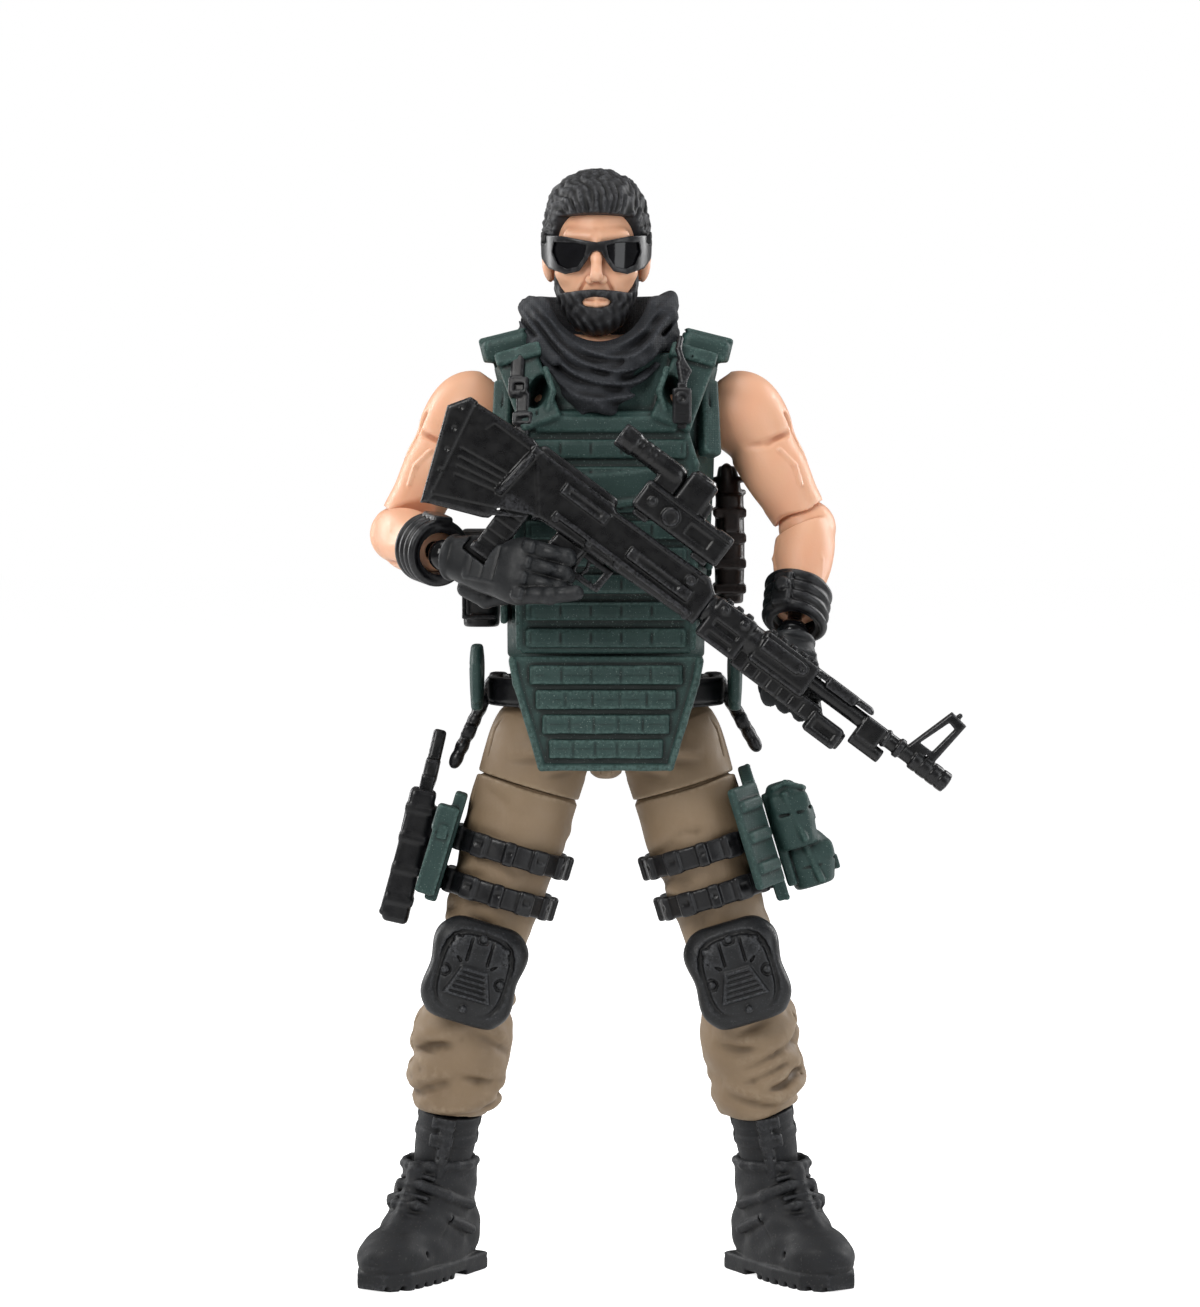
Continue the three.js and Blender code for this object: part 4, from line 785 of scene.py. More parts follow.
def vest_body(grow=0.0):
    """The outer skin of the vest below its collar."""
    outer = limb([[z, x, y, sx, sy] for z, x, y, sx, sy in VEST_ROWS], 2.8, 0.5, grow)

    def distance(x, y, z):
        return np.maximum(outer[0](x, y, z), -COLLAR[0](x, y, z) - grow)

    return distance, outer[1], outer[2]


def shoulder_balls(field, radius):
    for side in ("left", "right"):
        field.cut(ball(place(f"shoulder_swing_{side}"), radius), 0.1)


def webbing(field, rows, half_width, front, depth, pitch, width=1.7):
    """Rows of stitched loops on a face at y = front; depth is signed."""
    for z in rows:
        field.add(box((0, front, z), (2 * half_width, abs(depth), width), 0.22), 0.12)
        columns = int(half_width * 2 / pitch)
        for k in range(columns + 1):
            x = -half_width + 0.35 + k * (2 * half_width - 0.7) / columns
            field.cut(box((x, front + depth / 2, z), (0.3, 0.34, width * 0.82), 0.1), 0.08)
        field.cut(box((0, front + depth / 2, z + width * 0.36), (2 * half_width - 0.5, 0.18, 0.14), 0.05),
            0.05)
        field.cut(box((0, front + depth / 2, z - width * 0.36), (2 * half_width - 0.5, 0.18, 0.14), 0.05),
            0.05)


def shell(field):
    """The vest's hollow body: cut by the chest, the collar and the arms' balls."""
    field.add(limb(VEST_ROWS, 2.8, 0.5))
    field.cut(limb([[92, 3.8, 3.6, -0.4, 0.6]] + CHEST_ROWS[1:7] + [[55, 8.2, 5.1, 0, 0.2]], grow=0.2))
    field.cut(COLLAR, 0.4)
    shoulder_balls(field, 4.45)


def make_vest(paints):
    front = Field((-12, -10.4, 57.2), (12, 0.6, 88.6), 0.16)
    shell(front)
    front.add(slab([(-7.9, 58.4), (7.9, 58.4), (8.2, 76.5), (6.6, 80.9), (-6.6, 80.9), (-8.2, 76.5)], -8.75,
        -6.0, 0.5), 0.5)
    webbing(front, [59.9, 62.4, 64.9, 67.4, 69.9, 72.4, 74.9, 77.4], 7.4, -8.75, -0.8, 2.5)
    front.add(box((0, -8.65, 79.7), (13.0, 0.9, 1.5), 0.3), 0.2)
    front.add(box((0, -9.0, 73.6), (12.8, 0.8, 3.3), 0.3, (0, -5, 0)), 0.15)
    front.add(box((0, -9.2, 72.2), (12.8, 0.8, 0.7), 0.25, (0, -7, 0)), 0.1)
    for s in (-1, 1):
        front.add(box((s * 7.2, -7.1, 83.0), (3.9, 1.5, 8.2), 0.35, (-24, s * 21, 0)), 0.25)
        front.add(box((s * 9.5, -5.6, 80.2), (1.9, 1.6, 7.4), 0.35, (-18, s * 8, s * 30)), 0.25)
        front.add(box((s * 8.1, -6.3, 86.0), (4.4, 1.5, 1.4), 0.3, (-24, s * 16, 0)), 0.12)
        front.cut(ellipsoid((s * 6.3, -8.0, 82.7), (0.95, 3.6, 1.65), (0, s * -22, 0)), 0.25)
        front.chain([(s * 5.4, -8.9, 81.0), (s * 4.9, -8.7, 82.7), (s * 5.6, -8.2, 84.8)], 0.3, 0.2)
        front.groove([(s * 6.4, -8.9, 80.6), (s * 7.1, -8.2, 84.9), (s * 8.6, -6.2, 86.6)], 0.12, 0.12)
        front.groove([(s * 9.5, -6.6, 77.0), (s * 9.7, -5.6, 83.0)], 0.12, 0.12)
        front.add(box((s * 9.6, -4.4, 67.0), (0.7, 5.6, 1.8), 0.3), 0.2)
        front.add(box((s * 9.5, -4.4, 62.0), (0.7, 5.6, 1.8), 0.3), 0.2)
        front.chain([(s * 8.1, -8.5, 59), (s * 8.35, -8.5, 76), (s * 6.8, -8.4, 80.8)], 0.28, 0.25)
    front.keep(box((0, -8.1, 73), (40, 16, 60), 0.1))
    for s in (-1, 1):
        front.cut(box((s * 9.3, 0.3, 86.8), (5.2, 10.0, 3.0), 0.2, (0, s * 14, 0)))
    front.cut(box((0, -9, 56.0), (30, 8, 3.6), 0.3), 0.2)
    front.mesh("vest_front_shell", paints["vest"], "torso", "vest", ["vest_front"])

    back = Field((-12.8, -5.2, 57.2), (12.8, 9.6, 89.0), 0.18)
    shell(back)
    back.keep(box((0, 8.1, 73), (40, 16, 60), 0.1))
    back.add(slab([(-7.8, 59), (7.8, 59), (7.9, 78), (6.0, 83), (-6.0, 83), (-7.9, 78)], 5.5, 8.2, 0.5),
        0.5)
    webbing(back, [60.4, 63.4, 66.4, 69.4, 72.4, 75.4, 78.4], 7.2, 8.2, 0.8, 2.5)
    back.add(box((0, 8.1, 82.4), (5.6, 1.0, 1.0), 0.3), 0.2)
    back.cut(box((0, 8.0, 81.9), (4.2, 2.0, 0.8), 0.2), 0.1)
    for s in (-1, 1):
        back.add(box((s * 9.3, 0.3, 86.8), (4.5, 9.2, 2.2), 0.7, (0, s * 14, 0)), 0.15)
        for y in (-3.4, -0.6, 2.2, 4.4):
            back.add(box((s * 9.42, y * 0.93 + 0.2, 87.0), (4.7, 1.3, 2.35), 0.3, (0, s * 14, 0)), 0.1)
        back.groove([(s * 7.5, -4.2, 88.3), (s * 7.5, 4.8, 88.3)], 0.14, 0.12)
        back.add(box((s * 9.7, 3.6, 66.0), (0.7, 5.0, 1.8), 0.3), 0.2)
        back.cut(ball(place(f"shoulder_swing_{'left' if s > 0 else 'right'}"), 4.4), 0.1)
    back.mesh("vest_back_shell", paints["vest"], "torso", "vest", ["vest_back"])


def make_chest(paints):
    chest = Field((-10.4, -7.2, 57.6), (10.4, 7.2, 89), 0.22)
    chest.add(limb(CHEST_ROWS, soft=0.6))
    for s in (-1, 1):
        chest.add(ellipsoid((s * 4.2, -4.2, 79.4), (4.4, 2.0, 3.4)), 1.2)
        chest.add(ellipsoid((s * 5.2, 0.4, 85.0), (4.2, 2.8, 1.9), (0, s * 24, 0)), 1.2)
    shoulder_balls(chest, 4.25)
    chest.cut(ball(place("neck_tilt"), 1.85)).cut(disc(place("neck_tilt"), (-0.6, 0.8, 92), 2.2))
    chest.cut(ball(place("waist_bend"), 2.7)).cut(disc((0, 0, 56), place("waist_bend"), 3.2))
    chest.mesh("bare_chest", paints["skin"], "torso", "skin", ["chest"])


def sculpt(step, *shapes, blend=0.12):
    """A field just large enough for the shapes, each joined to the rest."""
    low = np.min([s[1] for s in shapes], axis=0) - 0.8
    high = np.max([s[2] for s in shapes], axis=0) + 0.8
    field = Field(low, high, step)
    for shape in shapes:
        field.add(shape, blend)
    return field


# ---------- Gear on the vest ----------
def make_vest_gear(paints):
    radio = sculpt(0.12, limb([[73.0, 1.3, 2.4, 11.75, 2.6], [67.0, 1.42, 2.5, 11.75, 2.6],
        [62.6, 1.3, 2.35, 11.75, 2.6]], 3.2),
                   limb([[75.6, 0.8, 1.4, 11.5, 3.1], [74.2, 1.1, 1.9, 11.6, 2.9],
                       [72.4, 1.25, 2.3, 11.7, 2.7]], 3.0))
    for z in (64.0, 66.4, 68.8, 71.2):
        radio.add(box((11.75, 2.6, z), (3.1, 5.2, 0.9), 0.25), 0.12)
        radio.cut(box((12.9, 0.4, z), (1.4, 0.22, 0.8), 0.05), 0.05)
    radio.add(rod((11.5, 1.4, 73.6), (11.4, 1.2, 75.3), 0.55), 0.15)
    radio.add(rod((11.6, 4.2, 73.4), (11.5, 4.3, 75.4), 0.45), 0.15)
    radio.add(box((11.9, 0.3, 70.4), (1.5, 0.7, 1.9), 0.2), 0.1)
    for z in (73.1, 74.3):
        radio.add(ring((11.7, 2.8, z), (0, 0, 1), 1.35, 0.28), 0.1)
    radio.mesh("radio_canister", paints["canister"], "torso", "gear", ["radio_pouch_left"])

    pouch = sculpt(0.14, limb([[69.4, 1.7, 2.2, -11.9, 5.8], [66.4, 1.95, 2.45, -11.9, 5.8],
        [60.2, 1.7, 2.2, -11.9, 5.8]], 3.2))
    pouch.add(box((-12.1, 5.5, 67.9), (3.6, 4.4, 3.2), 0.5), 0.2)
    pouch.groove([(-14, 3.4, 66.2), (-10, 3.4, 66.2)], 0.14).groove([(-13.9, 3.4, 66.2),
        (-13.9, 7.5, 66.2)], 0.16)
    pouch.chain([(-13.6, 3.5, 69), (-13.5, 3.4, 61.2), (-10.6, 3.4, 61.2)], 0.22, 0.15)
    pouch.add(box((-12.2, 3.3, 66.6), (1.3, 0.5, 2.2), 0.15), 0.1)
    pouch.mesh("hanging_pouch", paints["gear"], "torso", "gear", ["mag_pouch_right"])

    switch = sculpt(0.10, box((7.0, -9.25, 81.4), (1.75, 1.0, 3.3), 0.25),
        box((7.0, -9.0, 81.4), (0.9, 0.8, 4.3), 0.2))
    switch.add(ring((7.0, -9.75, 82.1), (0, 1, 0), 0.45, 0.14), 0.05)
    switch.cut(ball((7.0, -9.95, 82.1), 0.3), 0.05)
    switch.cut(box((7.0, -9.85, 80.6), (1.0, 0.3, 0.16), 0.04)).cut(box((7.0, -9.85, 80.2),
        (1.0, 0.3, 0.16), 0.04))
    switch.mesh("talk_button", paints["gear"], "torso", "gear", ["talk_switch"])

    # The moulded cable from the switch up over the strap, and the buckled strap on the other side.
    cable = sculpt(0.11, *(rod(a, b, 0.3) for a, b in pairs([
        (7.1, -8.9, 83.4), (7.6, -8.4, 84.6), (7.0, -8.3, 85.6), (6.7, -7.9, 86.6), (6.9, -7.0, 87.6)])))
    cable.add(rod((7.0, -8.9, 79.3), (7.2, -8.75, 77.6), 0.3), 0.1)
    cable.add(rod((7.2, -8.75, 77.6), (8.6, -7.9, 75.6), 0.3), 0.1)
    for k in range(5):
        cable.add(ball((7.1 - 0.06 * k, -8.8 + 0.12 * k, 83.6 + 0.42 * k), 0.42), 0.06)
    cable.mesh("moulded_cable", paints["gear"], "torso", "gear")

    strap = sculpt(0.11, box((-8.2, -7.15, 84.4), (1.3, 1.0, 5.0), 0.3, (-22, 0, -8)),
        box((-7.7, -8.35, 80.6), (1.3, 0.9, 4.4), 0.3, (-12, 0, -8)))
    strap.add(box((-8.1, -7.8, 83.2), (1.9, 0.9, 1.7), 0.25, (-20, 0, -8)), 0.08)
    strap.cut(box((-8.1, -8.3, 83.2), (0.9, 0.7, 0.7), 0.1, (-20, 0, -8)), 0.05)
    strap.add(box((-7.7, -8.75, 80.2), (1.9, 0.8, 1.3), 0.25, (-12, 0, -8)), 0.08)
    strap.cut(box((-7.7, -9.2, 80.2), (1.1, 0.4, 0.4), 0.1), 0.05)
    strap.mesh("chest_buckle_strap", paints["gear"], "torso", "gear")


def pairs(points):
    return list(zip(points, points[1:]))


def make_flap(paints):
    hinge = place("groin_flap_swing")
    where = Matrix.Translation(hinge)
    outline = [(-9.0, 0), (9.0, 0), (8.6, -2.4), (6.2, -10.6), (-6.2, -10.6), (-8.6, -2.4)]
    flap = Field((-9.6, -2.4, -11.2), (9.6, 0.8, 0.8), 0.12)
    flap.add(slab(outline, -0.85, 0.1, 0.35))
    rim = [(-8.7, -0.4), (-8.3, -2.5), (-5.95, -10.3), (5.95, -10.3), (8.3, -2.5), (8.7, -0.4)]
    flap.chain([(x, -0.8, z) for x, z in rim], 0.36, 0.15)
    for z in (-1.7, -4.0, -6.3, -8.6):
        half = 7.7 - 0.34 * abs(z) * 0.78 - 0.15
        flap.add(box((0, -0.95, z), (2 * half, 0.65, 1.75), 0.2), 0.1)
        flap.cut(box((0, -1.3, z), (2 * half - 0.4, 0.22, 0.15), 0.05), 0.05)
        for k in range(6):
            x = -half + 0.2 + k * (2 * half - 0.4) / 5
            flap.cut(box((x, -1.3, z), (0.26, 0.34, 1.5), 0.1), 0.08)
    flap.lift(lambda x, y, z: 0.03 * np.sin(1.3 * x + 0.9 * z) * np.sin(1.1 * z) + 0 * y)
    flap.mesh("apron_flap", paints["vest"], "flap", "vest", ["groin_flap"], where)


# ---------- Pelvis and waist ----------
def make_pelvis(paints):
    hip_z = place("hip_swing_left").z
    hips = Field((-10.4, -6.4, 45.2), (10.4, 6.4, 57.0), 0.16)
    hips.add(limb([[hip_z + 6.7, 8.4, 5.0], [hip_z + 5.2, 9.2, 5.4], [hip_z + 3.0, 9.4, 5.4],
        [hip_z + 0.5, 5.0, 4.9, 0, 0.3],
                   [hip_z - 2.2, 2.2, 3.6, 0, 0.3], [hip_z - 3.4, 1.0, 2.2, 0, 0.4]], 2.2, 0.4))
    hips.add(box((0, -4.6, 49.4), (1.2, 1.0, 5.5), 0.3), 0.4)
    hips.groove([(0.7, -5.6, 53), (0.75, -5.1, 48.5), (0, -4.2, 46.4)], 0.12, 0.15)
    for s in (-1, 1):
        hips.cut(ball((s * 6.0, 0, hip_z), 5.3), 0.1)
        hips.groove([(s * 8.6, -3.6, 54.6), (s * 9.0, -1.6, 52.6)], 0.14, 0.15)
    hips.cut(disc((0, 0, 54.2), (0, 0, 60), 2.85), 0.1)
    hips.mesh("trouser_seat", paints["trousers"], "pelvis", "trousers", ["hips"])

    belt = Field((-15.9, -7.9, 46.0), (15.9, 7.4, 56.6), 0.14)
    belt.add(limb([[hip_z + 6.3, 11.2, 6.7], [hip_z + 3.6, 11.2, 6.7]], 2.0, 0.25))
    belt.cut(limb([[hip_z + 8, 10.3, 5.8], [hip_z + 2, 10.3, 5.8]], 2.0, 0.1))
    for z in (hip_z + 3.95, hip_z + 5.95):
        for a, b in pairs([(11.25 * math.sin(t), -6.75 * math.cos(t), z) for t in np.linspace(0,
            2 * math.pi, 41)]):
            belt.cut(rod(a, b, 0.13), 0.08)
    belt.add(box((0, -6.9, hip_z + 5.0), (3.5, 0.9, 2.4), 0.25), 0.1)
    belt.cut(box((0, -7.4, hip_z + 5.0), (2.2, 0.5, 1.0), 0.15), 0.08)
    belt.add(box((0, -7.05, hip_z + 5.0), (0.6, 0.9, 1.9), 0.15), 0.08)
    for t in (-150, -110, -42, 42, 110, 150):
        a = math.radians(t)
        belt.add(box((10.9 * math.sin(a), -6.4 * math.cos(a), hip_z + 5.0), (1.5, 1.5, 3.1), 0.3,
            (0, 0, t)), 0.12)
    for s, low in ((-1, Vector((-14.4, 0.8, 47.4))), (1, Vector((14.3, 0.8, 49.0)))):
        top = Vector((s * 10.7, 3.2, 55.4))
        for share, size in ((0.08, 0.62), (0.22, 0.9), (0.36, 1.08), (0.5, 0.8), (0.64, 1.08), (0.8, 0.9),
            (0.94, 0.7)):
            at = top.lerp(low, share)
            belt.add(ellipsoid(at, (0.55 + 0.12 * size, size, 0.85), (0, s * -24, 0)), 0.3)
        belt.add(rod(top, low, 0.5), 0.25)
        for share in (0.3, 0.62):
            at = top.lerp(low, share)
            belt.add(box(at, (1.25, 2.1, 1.3), 0.25, (0, s * -24, 0)), 0.1)
            belt.cut(box(at + Vector((s * 0.7, 0, 0.2)), (0.5, 1.2, 0.35), 0.1, (0, s * -24, 0)), 0.05)
    belt.mesh("gear_belt", paints["gear"], "pelvis", "gear", ["belt"])

    for s, side in ((-1, "right"), (1, "left")):
        x = s * 12.15
        pouch = sculpt(0.13, limb([[hip_z + 9.4, 0.55, 2.2, x, -1.8], [hip_z + 8.2, 0.68, 2.7, x, -1.8],
                                   [hip_z + 5.6, 0.68, 2.5, x, -1.8], [hip_z + 3.2, 0.55, 1.8, x,
                                       -1.8]], 2.6))
        pouch.groove([(x + s * 0.8, -4.2, hip_z + 7.4), (x + s * 0.8, 0.6, hip_z + 7.4)], 0.13)
        pouch.groove([(x + s * 0.8, -3.8, hip_z + 4.6), (x + s * 0.8, 0.2, hip_z + 4.6)], 0.13)
        pouch.groove([(x + s * 0.9, -1.8, hip_z + 7.2), (x + s * 0.9, -1.8, hip_z + 3.6)], 0.13)
        pouch.add(rod((x, -4.3, hip_z + 7.6), (x, -3.9, hip_z + 4.4), 0.42), 0.2)
        pouch.mesh(f"hip_flap_pouch_{side}", paints["vest"], "pelvis", "vest", [f"hip_pouch_{side}"])

    low, high = place("waist_turn"), place("waist_bend")
    peg = sculpt(0.14, disc((0, 0, low.z - 0.6), (0, 0, low.z + 0.6), 2.55), rod(low, high, 1.35),
        ball(high, 2.25), blend=0.25)
    peg.mesh("waist_ball_peg", paints["peg"], "waist", "peg", ["waist_peg"])
    low, high = place("neck_tilt"), place("head_turn")
    post = sculpt(0.12, ball(low, 1.45), rod(low, high, 0.95), ball(high, 1.55), blend=0.4)
    post.mesh("neck_ball_post", paints["skin"], "neck", "skin", ["neck_post"])


# ---------- Arms ----------
KNUCKLES = {"left": Vector((16.9, -12.5, 54.4)), "right": Vector((-6.4, -17.3, 66.2))}
EXTRA_BEND = {"left": 25.0, "right": 12.0}  # degrees of elbow bend past the rest pose
GUN_DROP = math.radians(36.8)
GUN_DIRECTION = Vector((math.cos(GUN_DROP), 0, -math.sin(GUN_DROP)))
GUN_FRAME = Matrix.Translation((-14.8, -15.6, 81.3)) @ Matrix.Rotation(GUN_DROP, 4, "Y")


def flipped(point, s):
    return Vector((point[0] * s, point[1], point[2]))


def make_arm(paints, s, side):
    shoulder, elbow, wrist = (flipped(place(f"{joint}_{side}"), s) for joint in ("shoulder_swing",
        "elbow_bend", "wrist_bend"))
    knuckles = flipped(KNUCKLES[side], s)
    mirror = Matrix.Diagonal((s, 1, 1, 1))
    length, reach = (elbow - shoulder).length, (wrist - elbow).length
    axis = (elbow - shoulder).cross(wrist - elbow).normalized()
    bend = math.degrees((elbow - shoulder).angle(wrist - elbow))
    wedge = (bend + EXTRA_BEND[side]) / 2

    peg = sculpt(0.13, ball(shoulder, 1.85), rod((shoulder.x - 6.8, shoulder.y, shoulder.z), shoulder,
        1.15), blend=0.2)
    peg.add(disc((shoulder.x - 3.2, shoulder.y, shoulder.z), (shoulder.x - 2.6, shoulder.y, shoulder.z),
        1.3), 0.1)
    if side == "left":
        peg.add(ellipsoid((shoulder.x - 0.7, shoulder.y - 0.6, shoulder.z + 4.05), (2.3, 1.5, 0.42),
            (0, 8, 0)), 0.05)
        peg.add(rod((shoulder.x - 3.4, shoulder.y, shoulder.z + 0.8),
            (shoulder.x - 2.6, shoulder.y - 0.4, shoulder.z + 4.0), 0.5), 0.1)
    peg.mesh(f"shoulder_swing_peg_{side}", paints["skin_peg"], f"shoulder_{side}", "skin",
        [f"shoulder_peg_{side}"], mirror)

    frame_up = facing(shoulder, elbow, FRONT)
    arm = Field((-4.6, -4.8, -length - 1.4), (4.6, 4.8, 4.4), 0.14)
    arm.add(ball((0, 0, 0), 3.82)).add(ellipsoid((0.5, -0.1, -1.6), (3.55, 3.75, 4.6)), 0.8)
    arm.add(ellipsoid((0.1, -1.2, -6.3), (3.0, 2.55, 4.3), (4, 0, 0)), 0.9)
    arm.add(ellipsoid((0.3, 1.0, -5.6), (3.1, 2.6, 4.4), (-4, 0, 0)), 0.9)
    arm.add(limb([[-4, 2.9, 3.1], [-9.4, 2.75, 2.95, 0, -0.2], [-length + 0.6, 2.55, 2.6]]), 0.8)
    arm.groove([(3.6, -1.5, -2.6), (3.15, -0.4, -5.2), (2.9, 0.1, -8.4)], 0.28, 0.5)
    arm.groove([(-1.5, -3.6, -3.2), (0.8, -3.7, -4.1), (3.0, -2.2, -4.2)], 0.22, 0.5)
    arm.groove([(-2.9, -0.6, -5.2), (-2.7, -0.2, -8.8)], 0.25, 0.5)
    arm.chain([(1.4, -3.55, -5.2), (1.9, -3.2, -7.2), (1.5, -3.0, -9.0)], 0.16, 0.25)
    cutter = upper_wedge(frame_up, shoulder, elbow, axis, wedge)
    arm.cut(ball((0, 0, -length), 3.0), 0.08).cut(ball((0, 0, 0), 2.15), 0.05)
    arm.cut(cutter, 0.15)
    to_arm = frame_up.inverted()
    for start in ((5.5, 0, 0), (8.5, 0, 5.5), (7.0, 0, 3.2), (6.0, 0, -3.0)):
        at = to_arm @ Vector((start[0], shoulder.y, shoulder.z + start[2]))
        arm.cut(rod(at, (0, 0, 0), 1.5), 0.08)
    arm.cut(rod((0, 0, -length), (0, 0, -length + 6.2), 1.15))
    arm.mesh(f"bare_upper_arm_{side}", paints["skin"], f"upper_arm_{side}", "skin", [f"upper_arm_{side}"],
        mirror @ frame_up)

    forward = -(elbow - shoulder).cross(axis)
    link_frame = facing(elbow, elbow * 2 - shoulder, forward)
    link = sculpt(0.12, disc((-0.58, 0, 0), (0.58, 0, 0), 1.38), rod((0, 0, 0.2), (0, 0, 5.2), 0.88),
        blend=0.15)
    link.mesh(f"elbow_hinge_{side}", paints["skin_peg"], f"elbow_{side}", "skin", [f"elbow_link_{side}"],
        mirror @ link_frame)

    lower_frame = facing(elbow, wrist, axis.cross(wrist - elbow))
    fore = Field((-3.8, -3.8, -reach + 1.6), (3.8, 3.8, 3.2), 0.13)
    fore.add(limb([[0.6, 2.5, 2.5], [-1.8, 2.75, 2.85], [-4.2, 2.7, 2.8], [-6.8, 2.35, 2.35],
        [-reach + 2.4, 2.0, 2.0]], 2.0, 0.5))
    fore.add(ellipsoid((1.1, -0.6, -2.8), (1.8, 1.9, 4.0), (6, 8, 0)),
        0.6).add(ellipsoid((-0.9, 0.6, -3.2), (1.9, 2.1, 3.6)), 0.6)
    fore.cut(rotated_wedge(wedge), 0.15)
    fore.add(ball((0, 0, 0), 2.7), 0.15)
    for points in ([(2.2, -1.6, -2.0), (2.5, -1.0, -3.6), (1.9, -1.5, -5.0), (1.7, -1.4, -7.0)],
                   [(2.5, -1.0, -3.6), (2.5, 0.3, -4.9), (2.1, 0.7, -6.4)],
                   [(-0.6, -2.7, -2.6), (-1.2, -2.5, -4.6), (-0.7, -2.3, -6.6)]):
        fore.chain(points, 0.14, 0.22)
    fore.groove([(0.3, 2.9, -1.2), (0.6, 2.75, -4.0), (0.4, 2.3, -6.6)], 0.2, 0.4)
    fore.cut(disc((-0.95, 0, 0), (0.95, 0, 0), 1.65), 0.05)
    for share in (-0.1, 0.2, 0.5, 0.8, 1.1):
        turn = bend * share
        tip = np.array(Euler((math.radians(turn), 0, 0)).to_matrix()) @ np.array([0, 0, 2.3])
        fore.cut(box(tip, (1.85, 2.4, 4.6), 0.1, (turn, 0, 0)), 0.04)
    fore.cut(rod((0, 0, -reach), (0, 0, -reach + 5.2), 0.95))
    fore.mesh(f"bare_forearm_{side}", paints["skin"], f"forearm_{side}", "skin", [f"forearm_{side}"],
        mirror @ lower_frame)

    cuff = Field((-4.1, -3.7, -reach + 0.6), (3.7, 3.7, -reach + 6.2), 0.12)
    cuff.add(limb([[-reach + 5.5, 2.75, 2.75], [-reach + 4.4, 2.95, 2.95], [-reach + 1.0, 2.65, 2.65]], 2.0,
        0.3))
    for k in range(4):
        cuff.add(ring((0, 0, -reach + 1.5 + 1.15 * k), (0.12, 0.08, 1), 2.72 + 0.04 * k, 0.42), 0.12)
    cuff.add(box((1.2, -2.7, -reach + 3.0), (1.9, 1.0, 3.6), 0.3, (0, 0, 24)), 0.15)
    if side == "left":
        cuff.add(disc((1.5, -3.0, -reach + 3.2), (1.75, -3.45, -reach + 3.2), 0.7, 0.15), 0.08)
    else:
        cuff.add(disc((-2.5, 0, -reach + 3.3), (-3.45, 0, -reach + 3.3), 1.35, 0.2), 0.1)
    cuff.cut(limb([[-reach + 7, 2.5, 2.5], [-reach + 2.2, 2.2, 2.2], [-reach + 1.8, 2.1, 2.1]]), 0.1)
    cuff.cut(disc((0, 0, -reach - 1), (0, 0, -reach + 2.2), 1.95), 0.1)
    cuff.mesh(f"wrapped_cuff_{side}", paints["gear"], f"forearm_{side}", "gear", [f"cuff_{side}"],
        mirror @ lower_frame)
    if side == "right":
        dial = sculpt(0.1, disc((-3.3, 0, -reach + 3.3), (-3.62, 0, -reach + 3.3), 1.0, 0.1))
        for turn in range(0, 360, 30):
            c, n = math.cos(math.radians(turn)), math.sin(math.radians(turn))
            dial.cut(rod((-3.7, 0.72 * c, -reach + 3.3 + 0.72 * n), (-3.7, 0.9 * c, -reach + 3.3 + 0.9 * n),
                0.08), 0.03)
        dial.mesh("watch_dial", paints["watch"], "forearm_right", "gear", [], mirror @ lower_frame)

    peg = sculpt(0.11, ball((0, 0, -reach), 1.45), rod((0, 0, -reach), (0, 0, -reach + 4.6), 0.68),
        blend=0.15)
    peg.cut(disc((-1.7, 0, -reach), (-1.25, 0, -reach), 0.45, 0.1), 0.08)
    peg.mesh(f"wrist_ball_{side}", paints["peg"], f"wrist_{side}", "peg", [f"wrist_peg_{side}"],
        mirror @ lower_frame)
    make_hand(paints, side, wrist, knuckles, mirror)


def upper_wedge(frame_up, shoulder, elbow, axis, angle):
    """The upper arm's cut-back inside the bend, in the upper arm's frame."""
    inside = facing(elbow, elbow * 2 - shoulder, -(elbow - shoulder).cross(axis))
    turned = inside @ Matrix.Rotation(-math.radians(angle), 4, "X")
    return turned_box(frame_up.inverted() @ turned, (0, -4.5, -4.5), (9, 9, 9))


def rotated_wedge(angle):
    """The forearm's cut-back inside the bend: above z = 0 and in front, turned by the angle."""
    centre = np.array(Euler((math.radians(angle), 0, 0)).to_matrix()) @ np.array([0, -4.5, 4.5])
    return box(centre, (9, 9, 9), 0.1, (angle, 0, 0))


def finger(field, points, radius):
    """A gloved finger of two or three bones, with a seam at each knuckle."""
    for i, (a, b) in enumerate(pairs(points)):
        r = radius - 0.06 * i
        field.add(rod(a, b, r, r - 0.05), 0.12)
        a, b = Vector(a), Vector(b)
        if i:
            field.add(ball(a, r + 0.09), 0.15)
        field.add(ellipsoid(a.lerp(b, 0.5) + Vector((0, -0.16, 0)),
            (r * 0.8, r * 0.95, (b - a).length * 0.36)), 0.12)


